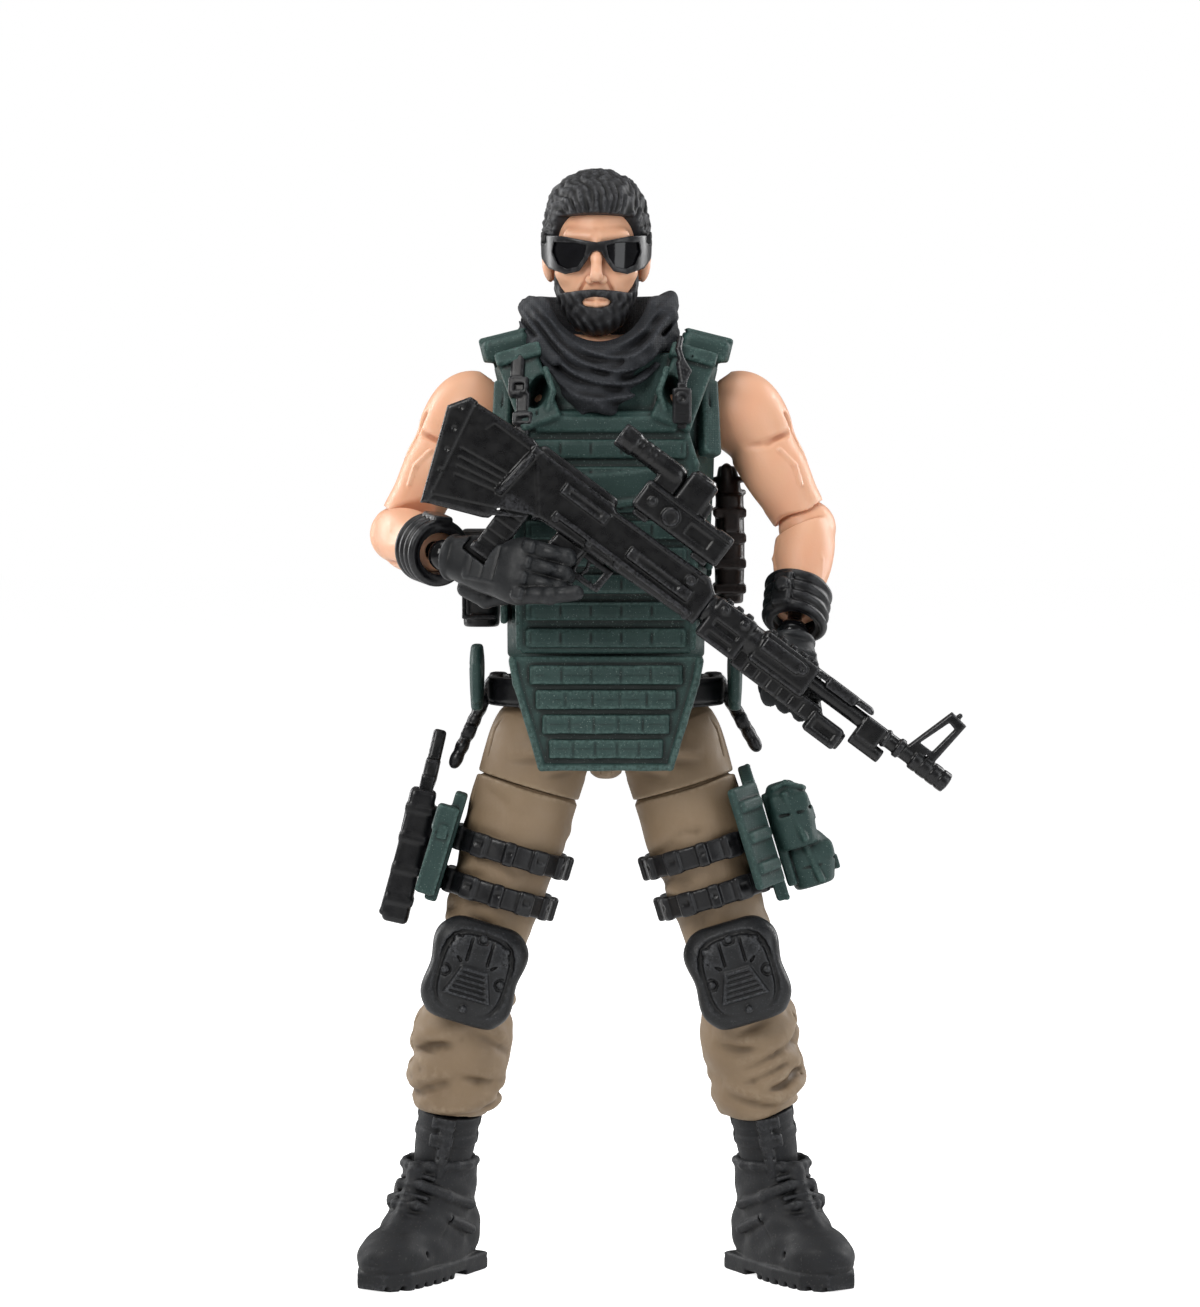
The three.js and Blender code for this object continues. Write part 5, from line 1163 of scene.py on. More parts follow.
def make_hand(paints, side, wrist, knuckles, mirror):
    right = side == "right"
    up = (wrist - knuckles).normalized()
    back = Vector((0, -1, 0.15)) if right else GUN_DIRECTION.cross(up)
    where = facing(wrist, knuckles, back)
    size = (wrist - knuckles).length
    hand = Field((-5.2, -5.8, -size - 6.2), (4.2, 5.8, 0.4), 0.13)
    hand.add(limb([[-0.5, 1.7, 1.7], [-2.4, 2.25, 1.85], [-0.6 * size, 2.8, 1.85],
        [-size + 0.4, 2.85, 1.75], [-size - 0.2, 2.5, 1.3]], 2.6, 0.4))
    hand.add(ring((0, 0, -1.0), (0, 0, 1), 1.75, 0.42), 0.15)
    hand.add(box((0, -1.55, -0.55 * size), (3.7, 0.7, 0.42 * size), 0.3), 0.15)
    for z in (-0.42, -0.55, -0.68):
        hand.groove([(-1.7, -1.95, z * size), (1.7, -1.95, z * size)], 0.12, 0.06)
    bend, tip = ((1.4, -2.4), (4.4, -0.6)) if right else ((-0.9, -1.9), (-4.2, -2.1))
    columns = [-2.15, -0.7, 0.75] if right else [-2.15, -0.7, 0.75, 2.15]
    for x in columns:
        hand.add(box((x, -1.45, -size + 0.5), (1.2, 0.9, 1.3), 0.35), 0.12)
        if right:
            finger(hand, [(x, -0.8, -size + 0.5), (x, bend[0] - 0.6, -size + bend[1] + 0.1),
                          (x, bend[0] + 1.6, -size + bend[1] + 0.6), (x, tip[0], -size + tip[1])], 0.82)
        else:
            finger(hand, [(x, 0, -size + 0.4), (x, bend[0], -size + bend[1]), (x, tip[0], -size + tip[1])],
                0.86)
    if right:
        hand.add(box((2.2, -1.4, -size + 0.5), (1.2, 0.9, 1.3), 0.35), 0.12)
        finger(hand, [(2.2, -0.6, -size + 0.6), (1.75, -0.65, -size - 2.4), (1.0, -0.4, -size - 4.8)], 0.82)
        finger(hand, [(2.5, 0.7, -2.8), (3.0, 1.6, -4.6), (2.2, 2.4, -6.4)], 0.85)
    else:
        finger(hand, [(-2.0, -0.4, -2.6), (-3.2, -0.7, -4.2), (-3.6, -0.9, -5.6)], 0.86)
    hand.cut(ball((0, 0, 0), 1.75), 0.05).cut(rod((0, 0, 3.0), (0, 0, 0), 1.6, 1.45), 0.05)
    gun_in_hand = (mirror @ where).inverted() @ GUN_FRAME
    if right:
        rooms = [((15, 0, 5.0), (26, 3.3, 16)), ((16.4, 0, -0.6), (4.3, 2.5, 16)),
            ((19.5, 0, -0.8), (4.7, 1.3, 10)), ((10.9, 0, -1.75), (3.8, 2.3, 15))]
    else:
        rooms = [((44, 0, 4.6), (32, 4.2, 18))]
    for centre, extent in rooms:
        hand.cut(turned_box(gun_in_hand, centre, extent), 0.08)
    hand.mesh(f"gloved_hand_{side}", paints["glove"], f"hand_{side}", "boot", [f"hand_{side}"],
        mirror @ where)


def turned_box(frame_to, centre, size):
    """A box of another frame, seen in this one."""
    to_box = np.array(frame_to.inverted())
    half = np.array(size) / 2 - 0.1

    def distance(x, y, z):
        u, v, w = (to_box[i, 0] * x + to_box[i, 1] * y + to_box[i, 2] * z + to_box[i,
            3] - centre[i] for i in range(3))
        qx, qy, qz = (np.abs(a) - h for a, h in zip((u, v, w), half))
        outside = np.sqrt(np.maximum(qx, 0) ** 2 + np.maximum(qy, 0) ** 2 + np.maximum(qz, 0) ** 2)
        return outside + np.minimum(np.maximum(qx, np.maximum(qy, qz)), 0) - 0.1

    middle = np.array(frame_to @ Vector(centre))
    reach = np.linalg.norm(size) / 2
    return distance, middle - reach, middle + reach


def make_arms(paints):
    for s, side in ((1, "left"), (-1, "right")):
        make_arm(paints, s, side)


# ---------- Gun, in its own frame: x along the bore from the butt, z up ----------
def gun_ribs(field, x_from, x_to, count, z_low, z_high, half_width, width=0.28):
    for k in range(count):
        x = x_from + (x_to - x_from) * k / (count - 1)
        for s in (-1, 1):
            field.cut(box((x, s * half_width, (z_low + z_high) / 2), (width, 0.35, z_high - z_low), 0.06),
                0.05)


def rail(field, x_from, x_to, z, width, teeth, height=0.42):
    """A toothed mounting rail along the top or bottom of the gun."""
    pitch = (x_to - x_from) / teeth
    for k in range(teeth):
        x = x_from + pitch * (k + 0.5)
        field.add(box((x, 0, z), (pitch * 0.58, width, height), 0.08), 0.05)


def make_gun(paints):
    body = Field((-0.6, -2.4, -9.2), (31.2, 2.4, 3.5), 0.12)
    stock = [(0.5, 0.2), (1.8, 2.15), (8.4, 2.6), (9.4, 2.3), (13.6, 2.1), (13.4, -2.9), (12.6, -3.3),
        (11.4, -4.3), (8.8, -5.9), (3.6, -8.0)]
    receiver = [(8.6, 2.2), (17.8, 2.2), (18.4, 1.85), (28.8, 2.1), (30.0, 1.2), (30.0, -2.2), (12.8, -2.9)]
    body.add(slab(stock, -1.25, 1.25, 0.5)).add(slab(receiver, -1.4, 1.4, 0.35), 0.15)
    body.add(slab([(0.2, 0.4), (1.4, 2.25), (2.2, 2.3), (4.1, -7.7), (3.5, -8.2)], -1.38, 1.38, 0.35), 0.1)
    for k in range(5):
        for s in (-1, 1):
            body.cut(ball((1.3 + 0.62 * k, s * 1.45, 1.0 - 1.9 * k), 0.22), 0.05)
    for s in (-1, 1):
        for k in range(4):
            body.groove([(3.6 + 0.3 * k, s * 1.32, -2.0 - 0.75 * k), (8.9, s * 1.32, -1.35 - 0.62 * k)],
                0.17, 0.06)
        body.cut(slab([(4.6, 1.7), (9.4, 1.7), (9.4, 0.5), (4.2, 0.5)], s * 1.2, s * 1.6, 0.1), 0.08)
        body.groove([(4.1, s * 1.3, -6.9), (12.4, s * 1.3, -3.1)], 0.14, 0.06)
        body.add(box((15.6, s * 1.42, 0.75), (5.0, 0.5, 1.1), 0.15), 0.08)
        body.cut(box((15.6, s * 1.7, 0.75), (3.6, 0.3, 0.45), 0.08), 0.05)
        body.add(box((21.6, s * 1.45, -1.6), (15.4, 0.5, 0.55), 0.15), 0.08)
        body.add(box((24.8, s * 1.45, -0.35), (7.0, 0.45, 1.2), 0.2), 0.08)
        body.cut(box((24.6, s * 1.68, -0.3), (4.6, 0.3, 0.55), 0.1), 0.05)
        body.groove([(18.2, s * 1.42, 1.4), (28.6, s * 1.42, 1.55)], 0.12, 0.05)
        for x in (14.2, 18.0, 21.2, 28.9):
            body.add(disc((x, s * 1.3, -2.0), (x, s * 1.62, -2.0), 0.36, 0.1), 0.04)
            body.cut(box((x, s * 1.68, -2.0), (0.5, 0.16, 0.12), 0.03))
        body.add(disc((27.4, s * 1.3, 0.9), (27.4, s * 1.75, 0.9), 0.5, 0.1), 0.05)
        body.cut(ball((27.4, s * 1.9, 0.9), 0.26), 0.04)
    body.add(ring((8.9, 0, -0.8), (1, 0, -0.1), 2.55, 0.28), 0.1)
    body.cut(box((8.9, 0, -0.8), (0.5, 2.2, 3.6), 0.1))
    body.add(box((8.9, 0, -0.5), (0.8, 2.95, 5.6), 0.2, (0, 6, 0)), 0.08)
    body.add(rod((9.8, 0, 2.2), (17.4, 0, 2.2), 0.62), 0.12)
    gun_ribs(body, 19.4, 27.8, 8, 1.9, 2.4, 0.9, 0.35)
    body.add(slab([(15.1, -2.6), (18.2, -2.6), (17.6, -8.1), (14.7, -7.9)], -0.98, 0.98, 0.35), 0.2)
    for k in range(6):
        for s in (-1, 1):
            body.groove([(15.0, s * 0.98, -4.0 - 0.62 * k), (17.7, s * 0.98, -4.0 - 0.62 * k)], 0.11, 0.04)
    body.add(slab([(17.9, -2.7), (21.4, -2.7), (21.3, -5.2), (18.1, -5.4)], -0.38, 0.38, 0.2), 0.1)
    body.cut(slab([(18.35, -3.3), (20.7, -3.3), (20.6, -4.75), (18.5, -4.75)], -1, 1, 0.1), 0.05)
    body.chain([(19.0, 0, -3.2), (19.3, 0, -4.1), (19.15, 0, -4.6)], 0.2, 0.08)
    body.cut(box((10.9, 0, -6.0), (3.1, 2.2, 6.6), 0.1))
    body.mesh("gun_receiver", paints["gunmetal"], "gun", "gunmetal", ["gun_body"], GUN_FRAME)

    guard = Field((30.0, -2.3, -4.5), (48.2, 2.3, 2.4), 0.11)
    guard.add(box((32.7, 0, -0.7), (4.3, 2.95, 4.1), 0.35)).add(rod((30.4, 0, -0.2), (38.6, 0, -0.2), 1.45),
        0.12)
    guard.add(box((38.8, 0, -0.1), (6.0, 2.9, 3.2), 0.3), 0.12).add(box((39.5, 0, -2.2), (9.4, 1.75, 1.8),
        0.25), 0.1)
    guard.add(box((45.3, 0, -2.8), (3.4, 2.3, 2.1), 0.3), 0.1).add(box((44.6, 0, 0.6), (3.4, 1.8, 1.8),
        0.3), 0.15)
    guard.add(rod((41.6, 0, 0.9), (47.6, 0, 0.9), 0.62), 0.1)
    rail(guard, 35.8, 41.6, 1.62, 2.1, 5)
    rail(guard, 31.0, 34.4, 1.45, 2.1, 3)
    for s in (-1, 1):
        guard.cut(box((32.7, s * 1.55, -0.8), (2.6, 0.5, 0.6), 0.12), 0.06)
        guard.cut(box((32.7, s * 1.55, -2.0), (2.6, 0.5, 0.5), 0.12), 0.06)
        guard.add(box((38.2, s * 1.5, 0.4), (4.2, 0.5, 1.3), 0.2), 0.08)
        guard.groove([(36.0, s * 1.5, -1.2), (41.4, s * 1.5, -1.2)], 0.13, 0.05)
        guard.add(disc((40.4, s * 1.3, 0.5), (40.4, s * 1.8, 0.5), 0.5, 0.1), 0.05)
        guard.cut(ball((40.4, s * 1.95, 0.5), 0.25), 0.04)
        for x in (31.6, 33.8):
            guard.add(disc((x, s * 1.3, 0.6), (x, s * 1.62, 0.6), 0.38, 0.1), 0.04)
        for k in range(6):
            guard.cut(box((36.1 + 1.25 * k, s * 0.95, -2.5), (0.3, 0.3, 1.4), 0.06), 0.05)
        guard.cut(box((45.3, s * 1.2, -2.8), (2.2, 0.3, 0.9), 0.1), 0.06)
    guard.add(disc((46.9, 0, -2.8), (47.3, 0, -2.8), 0.85, 0.12),
        0.05).cut(disc((47.1, 0, -2.8), (47.6, 0, -2.8), 0.6, 0.08))
    guard.cut(rod((29, 0, 0), (49, 0, 0), 0.98))
    guard.mesh("gun_forend", paints["gunmetal"], "gun", "gunmetal", ["gun_handguard"], GUN_FRAME)

    barrel = Field((30.4, -1.6, -2.8), (58.0, 1.6, 6.2), 0.1)
    barrel.add(rod((31.2, 0, 0), (57.0, 0, 0), 0.74)).add(disc((53.4, 0, 0), (57.35, 0, 0), 0.98, 0.15),
        0.12)
    barrel.add(disc((51.6, 0, 0), (52.2, 0, 0), 0.95, 0.12),
        0.08).add(disc((50.2, 0, 0), (50.6, 0, 0), 0.9, 0.12), 0.08)
    barrel.add(box((48.9, 0, -0.4), (2.4, 1.75, 2.2), 0.25),
        0.1).add(disc((47.7, 0, -1.7), (51.0, 0, -1.7), 0.66, 0.12), 0.1)
    barrel.add(slab([(52.3, 0.4), (55.2, 0.4), (55.6, 5.3), (53.8, 5.55)], -0.6, 0.6, 0.22), 0.15)
    barrel.cut(slab([(53.1, 1.55), (54.55, 1.55), (54.95, 4.4), (54.15, 4.6)], -2, 2, 0.15), 0.1)
    barrel.add(rod((54.45, 0, 4.9), (54.6, 0, 5.7), 0.24), 0.08)
    for x in (54.3, 55.4, 56.4):
        barrel.cut(ring((x, 0, 0), (1, 0, 0), 1.02, 0.12), 0.05)
    barrel.cut(disc((56.6, 0, 0), (58, 0, 0), 0.52, 0.1), 0.06)
    barrel.mesh("gun_muzzle_and_sight", paints["gunmetal"], "gun", "gunmetal", ["gun_barrel"], GUN_FRAME)

    scope = Field((13.8, -2.4, 2.2), (29.2, 2.4, 9.8), 0.11)
    scope.add(rod((15.2, 0, 7.75), (20.6, 0, 7.75), 1.05)).add(disc((14.3, 0, 7.75), (16.2, 0, 7.75), 1.2,
        0.25), 0.12)
    scope.cut(disc((13.6, 0, 7.75), (14.8, 0, 7.75), 0.85, 0.12), 0.06)
    for x in (16.8, 17.5, 18.2):
        scope.cut(ring((x, 0, 7.75), (1, 0, 0), 1.12, 0.12), 0.05)
    scope.add(box((20.4, 0, 6.6), (2.3, 1.75, 2.5), 0.3), 0.15).add(box((23.1, 0, 7.2), (2.9, 2.5, 3.8),
        0.4), 0.15)
    scope.add(disc((22.9, 0, 8.6), (22.9, 0, 9.35), 0.95, 0.15),
        0.08).add(box((24.6, 0, 6.6), (1.2, 2.0, 1.8), 0.25), 0.12)
    scope.add(box((23.7, 0, 4.6), (9.6, 2.9, 3.0), 0.45), 0.12).add(box((27.6, 0, 5.3), (1.8, 2.6, 1.9),
        0.3), 0.1)
    for s in (-1, 1):
        scope.add(disc((22.5, s * 1.3, 4.4), (22.5, s * 1.85, 4.4), 0.85, 0.12),
            0.06).cut(disc((22.5, s * 1.8, 4.4), (22.5, s * 2.1, 4.4), 0.5, 0.08), 0.04)
        scope.cut(box((25.6, s * 1.5, 4.5), (2.6, 0.3, 1.2), 0.12), 0.06)
        scope.groove([(19.2, s * 1.45, 5.6), (28.2, s * 1.45, 5.6)], 0.12, 0.05)
        scope.add(disc((20.3, s * 1.3, 4.6), (20.3, s * 1.62, 4.6), 0.4, 0.1), 0.05)
    for x in (20.2, 26.8):
        scope.add(box((x, 0, 3.0), (1.6, 2.1, 0.9), 0.2), 0.08)
    scope.mesh("gun_sight", paints["gunmetal"], "gun", "gunmetal", ["gun_scope"], GUN_FRAME)

    magazine = sculpt(0.11, box((10.9, 0, -5.7), (2.5, 1.6, 5.4), 0.25),
        box((10.9, 0, -8.35), (2.85, 1.85, 0.8), 0.2))
    for z in (-4.2, -5.3, -6.4, -7.3):
        for s in (-1, 1):
            magazine.groove([(9.9, s * 0.82, z), (11.9, s * 0.82, z)], 0.12, 0.05)
    magazine.mesh("gun_magazine_box", paints["gunmetal"], "gun", "gunmetal", ["gun_magazine"], GUN_FRAME)


# ---------- Legs ----------
TOE_OUT = math.radians(33)
THIGH_CUT = 4.3
BOOT_TOP = 13.9


def creases(field, paths, height=0.4, width=0.9):
    for path in paths:
        field.fold(path, height, width)


def on_limb(angle, z, half_x, half_y, out=-0.25, shift=0.0):
    """A point just under the skin of a limb, at an angle from its front."""
    a = math.radians(angle)
    return ((half_x + out) * math.sin(a), -(half_y + out) * math.cos(a) + shift, z)


def fold_paths(rng, count, z_range, half, angle_span=70, fall=1.2):
    paths = []
    for _ in range(count):
        a, z = rng.uniform(-180, 180), rng.uniform(*z_range)
        slope = rng.uniform(-fall, fall)
        paths.append([on_limb(a + angle_span * t, z + slope * t, half, half) for t in np.linspace(0, 1, 5)])
    return paths


def make_leg(paints, s, side):
    mirror = Matrix.Diagonal((s, 1, 1, 1))
    hip, ankle = (flipped(place(f"{joint}_{side}"), s) for joint in ("hip_swing", "ankle_pitch"))
    knee = flipped((place(f"knee_upper_{side}") + place(f"knee_lower_{side}")) / 2, s)
    half_gap = (place(f"knee_upper_{side}") - place(f"knee_lower_{side}")).length / 2
    thigh_frame, shin_frame = facing(hip, knee, FRONT), facing(knee, ankle, FRONT)
    thigh_length, shin_length = (knee - hip).length, (ankle - knee).length
    knee_z = -thigh_length
    rng = np.random.default_rng(20 + s)

    ball_peg = sculpt(0.14, ball((0, 0, 0), 2.05), rod((-5.3, 0, 0), (0, 0, 0), 0.95))
    ball_peg.mesh(f"hip_peg_{side}", paints["peg"], f"hip_{side}", "peg", [f"hip_ball_{side}"],
        mirror @ Matrix.Translation(hip))

    cap = Field((-6, -6.2, -5.2), (6, 6.2, 5.9), 0.15)
    cap.add(ball((0, 0, 0), 5.02)).add(limb([[1.6, 4.5, 4.8], [-1.0, 4.95, 5.15, 0.1],
        [-THIGH_CUT, 4.95, 5.15, 0.1]], 2.0, 0.15), 0.5)
    cap.groove([(4.3, -2.9, 2.9), (4.55, -1.9, 0.0), (4.6, -2.2, -2.6)], 0.14, 0.15)
    cap.groove([(0.6, -4.9, 3.2), (2.6, -4.6, 1.9), (4.3, -3.2, 0.4)], 0.11, 0.12)
    creases(cap, [[(-3.0, -4.3, 1.6), (0.4, -5.0, -0.9), (2.9, -4.2, -1.8)],
        [(-3.8, -3.3, -0.6), (-0.6, -4.95, -2.3)],
                  [(1.5, 4.9, 0.8), (-2.5, 4.4, -0.9)], [(-2.2, -4.6, 3.4), (0.0, -4.9, 2.2),
                      (1.8, -4.7, 1.2)]], 0.42, 0.65)
    cap.cut(ball((0, 0, 0), 2.35), 0.05).cut(disc((0, 0, -9), (0, 0, -2.6), 1.85), 0.05)
    to_thigh = thigh_frame.inverted()
    for k in range(3):
        inner = to_thigh @ Vector((-0.4, 0, hip.z + (k - 1) * 3.2))
        cap.cut(rod(inner, (0, 0, 0), 1.3, 1.5), 0.05)
    cap.cut(turned_box(to_thigh, (0.1, 0, hip.z - 3), (2.4, 14, 10)), 0.1)
    cap.cut(box((0, 0, -THIGH_CUT - 5), (20, 20, 10), 0.05))
    cap.mesh(f"trouser_top_{side}", paints["trousers"], f"thigh_cap_{side}", "trousers",
        [f"thigh_cap_{side}"], mirror @ thigh_frame)

    thigh = Field((-6.2, -6.4, knee_z - 0.4), (6.2, 6.4, -2.4), 0.15)
    thigh.add(limb([[-THIGH_CUT - 0.3, 4.95, 5.15, 0.1], [-8, 4.95, 5.15], [-12, 4.55, 4.85],
        [-16, 4.2, 4.4], [-19, 4.0, 4.1],
                    [knee_z + 0.5, 3.85, 3.9]], 2.0, 0.2))
    thigh.lift(lambda x, y, z: 0.10 * np.sin(0.9 * x + 0.5 * z) * np.sin(0.7 * z + 0.6 * y))
    thigh.groove([(4.75, -1.6, -4.6), (4.6, -1.4, -12), (3.9, -1.2, -19)], 0.12, 0.12)
    creases(thigh, fold_paths(rng, 7, (-20, -15.5), 3.95, 70, 2.2) + fold_paths(rng, 11, (-13, -5.5), 4.75,
        75, 3.6), 0.45, 0.7)
    thigh.cut(box((0, 0, -THIGH_CUT + 5), (20, 20, 10.4), 0.05))
    thigh.add(disc((0, 0, -6), (0, 0, -THIGH_CUT - 0.03), 4.6, 0.05)).add(disc((0, 0, -6), (0, 0, -3.0),
        1.55), 0.05)
    thigh.cut(box((0, 0.6, knee_z + 1.5), (2.6, 9.2, 4.8), 0.1))
    thigh.cut(box((0, 6.4, knee_z + 0.1), (20, 12, 8), 0.2, (42, 0, 0)), 0.2)
    thigh.mesh(f"trouser_thigh_{side}", paints["trousers"], f"thigh_{side}", "trousers", [f"thigh_{side}"],
        mirror @ thigh_frame)

    link = sculpt(0.12, disc((-0.98, 0, knee_z + half_gap), (0.98, 0, knee_z + half_gap), 1.46),
                  disc((-0.98, 0, knee_z - half_gap), (0.98, 0, knee_z - half_gap), 1.46),
                  box((0, 0, knee_z), (1.95, 2.5, 2 * half_gap), 0.2), box((0, -2.8, knee_z),
                      (1.55, 3.3, 1.55), 0.2))
    for z in (knee_z + half_gap, knee_z - half_gap):
        for end in (-1, 1):
            link.cut(disc((end * 1.2, 0, z), (end * 0.8, 0, z), 0.5, 0.06), 0.04)
    link.mesh(f"knee_hinge_{side}", paints["peg"], f"knee_{side}", "peg", [f"knee_link_{side}"],
        mirror @ thigh_frame)
    make_knee_pad(paints, side, knee_z, mirror @ thigh_frame)

    cuff = -(knee.z - BOOT_TOP) / ((knee.z - ankle.z) / shin_length) + 0.8
    shin = Field((-5.9, -6, cuff - 0.8), (5.9, 6.3, 1.6), 0.15)
    shin.add(limb([[1.0, 3.9, 3.9], [-3.0, 4.15, 4.15], [-7.5, 4.7, 4.8, 0, 0.3],
        [cuff + 3.6, 4.35, 4.45, 0, 0.3],
                   [cuff + 1.5, 4.35, 4.5, 0, 0.2], [cuff - 0.2, 3.7, 4.0, 0, 0.2]], 2.0, 0.6))
    shin.lift(lambda x, y, z: 0.16 * np.sin(0.8 * x + 0.6 * z + 1) * np.sin(0.75 * z - 0.5 * y + s))
    creases(shin, fold_paths(rng, 20, (-10.5, -1.5), 4.4, 100, 4.6), 0.7, 0.75)
    creases(shin, fold_paths(rng, 13, (cuff + 1.2, cuff + 4.6), 4.3, 95, 1.8), 0.65, 0.6)
    shin.groove([(4.3, -1.2, -2.0), (4.6, -1.0, -7.0), (4.2, -0.9, cuff + 2)], 0.12, 0.12)
    shin.cut(disc((0, 0.2, cuff - 2), (0, 0.2, cuff + 0.6), 3.15, 0.2), 0.2)
    shin.cut(disc((0, 0, cuff - 1), (0, 0, cuff + 3.6), 2.1, 0.05))
    thigh_in_shin = shin_frame.inverted() @ thigh_frame
    shin.cut(turned_box(thigh_in_shin, (0, 0.6, knee_z - 1.6), (2.6, 9, 5.6)), 0.1)
    shin.cut(turned_box(thigh_in_shin, (0, 0, knee_z + 1.5), (14, 14, 4)), 0.1)
    back = thigh_in_shin @ Matrix.Translation((0, 6.4, knee_z - 0.1)) @ Matrix.Rotation(math.radians(-42),
        4, "X")
    shin.cut(turned_box(back, (0, 0, 0), (20, 12, 8)), 0.2)
    shin.mesh(f"trouser_shin_{side}", paints["trousers"], f"shin_{side}", "trousers", [f"shin_{side}"],
        mirror @ shin_frame)
    make_boot(paints, side, ankle, shin_length, cuff, mirror, shin_frame)


def make_knee_pad(paints, side, knee_z, where):
    rows = [[knee_z + 5.0, 2.9, 1.3, 0, -4.75], [knee_z + 4.1, 3.9, 1.75, 0, -5.0],
        [knee_z, 4.2, 2.1, 0, -5.15],
            [knee_z - 3.6, 4.0, 1.75, 0, -5.0], [knee_z - 4.8, 3.0, 1.3, 0, -4.75]]
    pad = Field((-4.9, -7.9, knee_z - 5.6), (4.9, -3.9, knee_z + 5.8), 0.11)
    pad.add(limb(rows, 3.2, 0.5))
    rim = []
    for k in range(33):
        a = 2 * math.pi * k / 32
        c, n = math.cos(a), math.sin(a)
        bulge = (abs(c) ** 3.2 + abs(n) ** 3.2) ** (-1 / 3.2)
        rim.append((3.3 * bulge * c, -6.9, knee_z + 3.9 * bulge * n))
    for (x0, y, z0), (x1, _, z1) in pairs(rim):
        pad.cut(rod((x0, y, z0), (x1, y, z1), 0.27), 0.1).cut(rod((x0, y - 0.3, z0), (x1, y - 0.3, z1),
            0.3), 0.1)
    for x, z in ((-2.4, 2.9), (2.4, 2.9), (-2.7, -0.2), (2.7, -0.2), (0, -3.3), (0, 3.5)):
        y = -7.25 + 0.03 * (x * x) + 0.012 * z * z
        pad.cut(ring((x, y, knee_z + z), (0, 1, 0), 0.5, 0.14),
            0.04).add(ball((x, y + 0.22, knee_z + z), 0.38), 0.04)
    raised = [(-1.3, 0.6), (1.3, 0.6), (2.3, -2.3), (-2.3, -2.3)]
    pad.add(slab([(x, knee_z + z) for x, z in raised], -7.5, -6.0, 0.25), 0.15)
    for k in range(5):
        z = knee_z + 0.1 - 0.5 * k
        pad.cut(box((0, -7.5, z), (2.2 + 0.34 * k, 0.35, 0.2), 0.06), 0.05)
    for end in (-1, 1):
        pad.groove([(end * 1.5, -7.15, knee_z + 1.0), (end * 3.0, -6.9, knee_z + 2.2)], 0.16, 0.08)
        pad.groove([(end * 1.0, -7.2, knee_z + 1.2), (end * 1.0, -7.1, knee_z + 3.6)], 0.14, 0.08)
    pad.cut(box((0, -3.9, knee_z), (12, 1.9, 14), 0.05))
    pad.cut(box((0, -4.4, knee_z), (2.1, 1.4, 2.1), 0.05))
    pad.mesh(f"moulded_knee_pad_{side}", paints["pad"], f"knee_{side}", "gear", [f"knee_pad_{side}"], where)


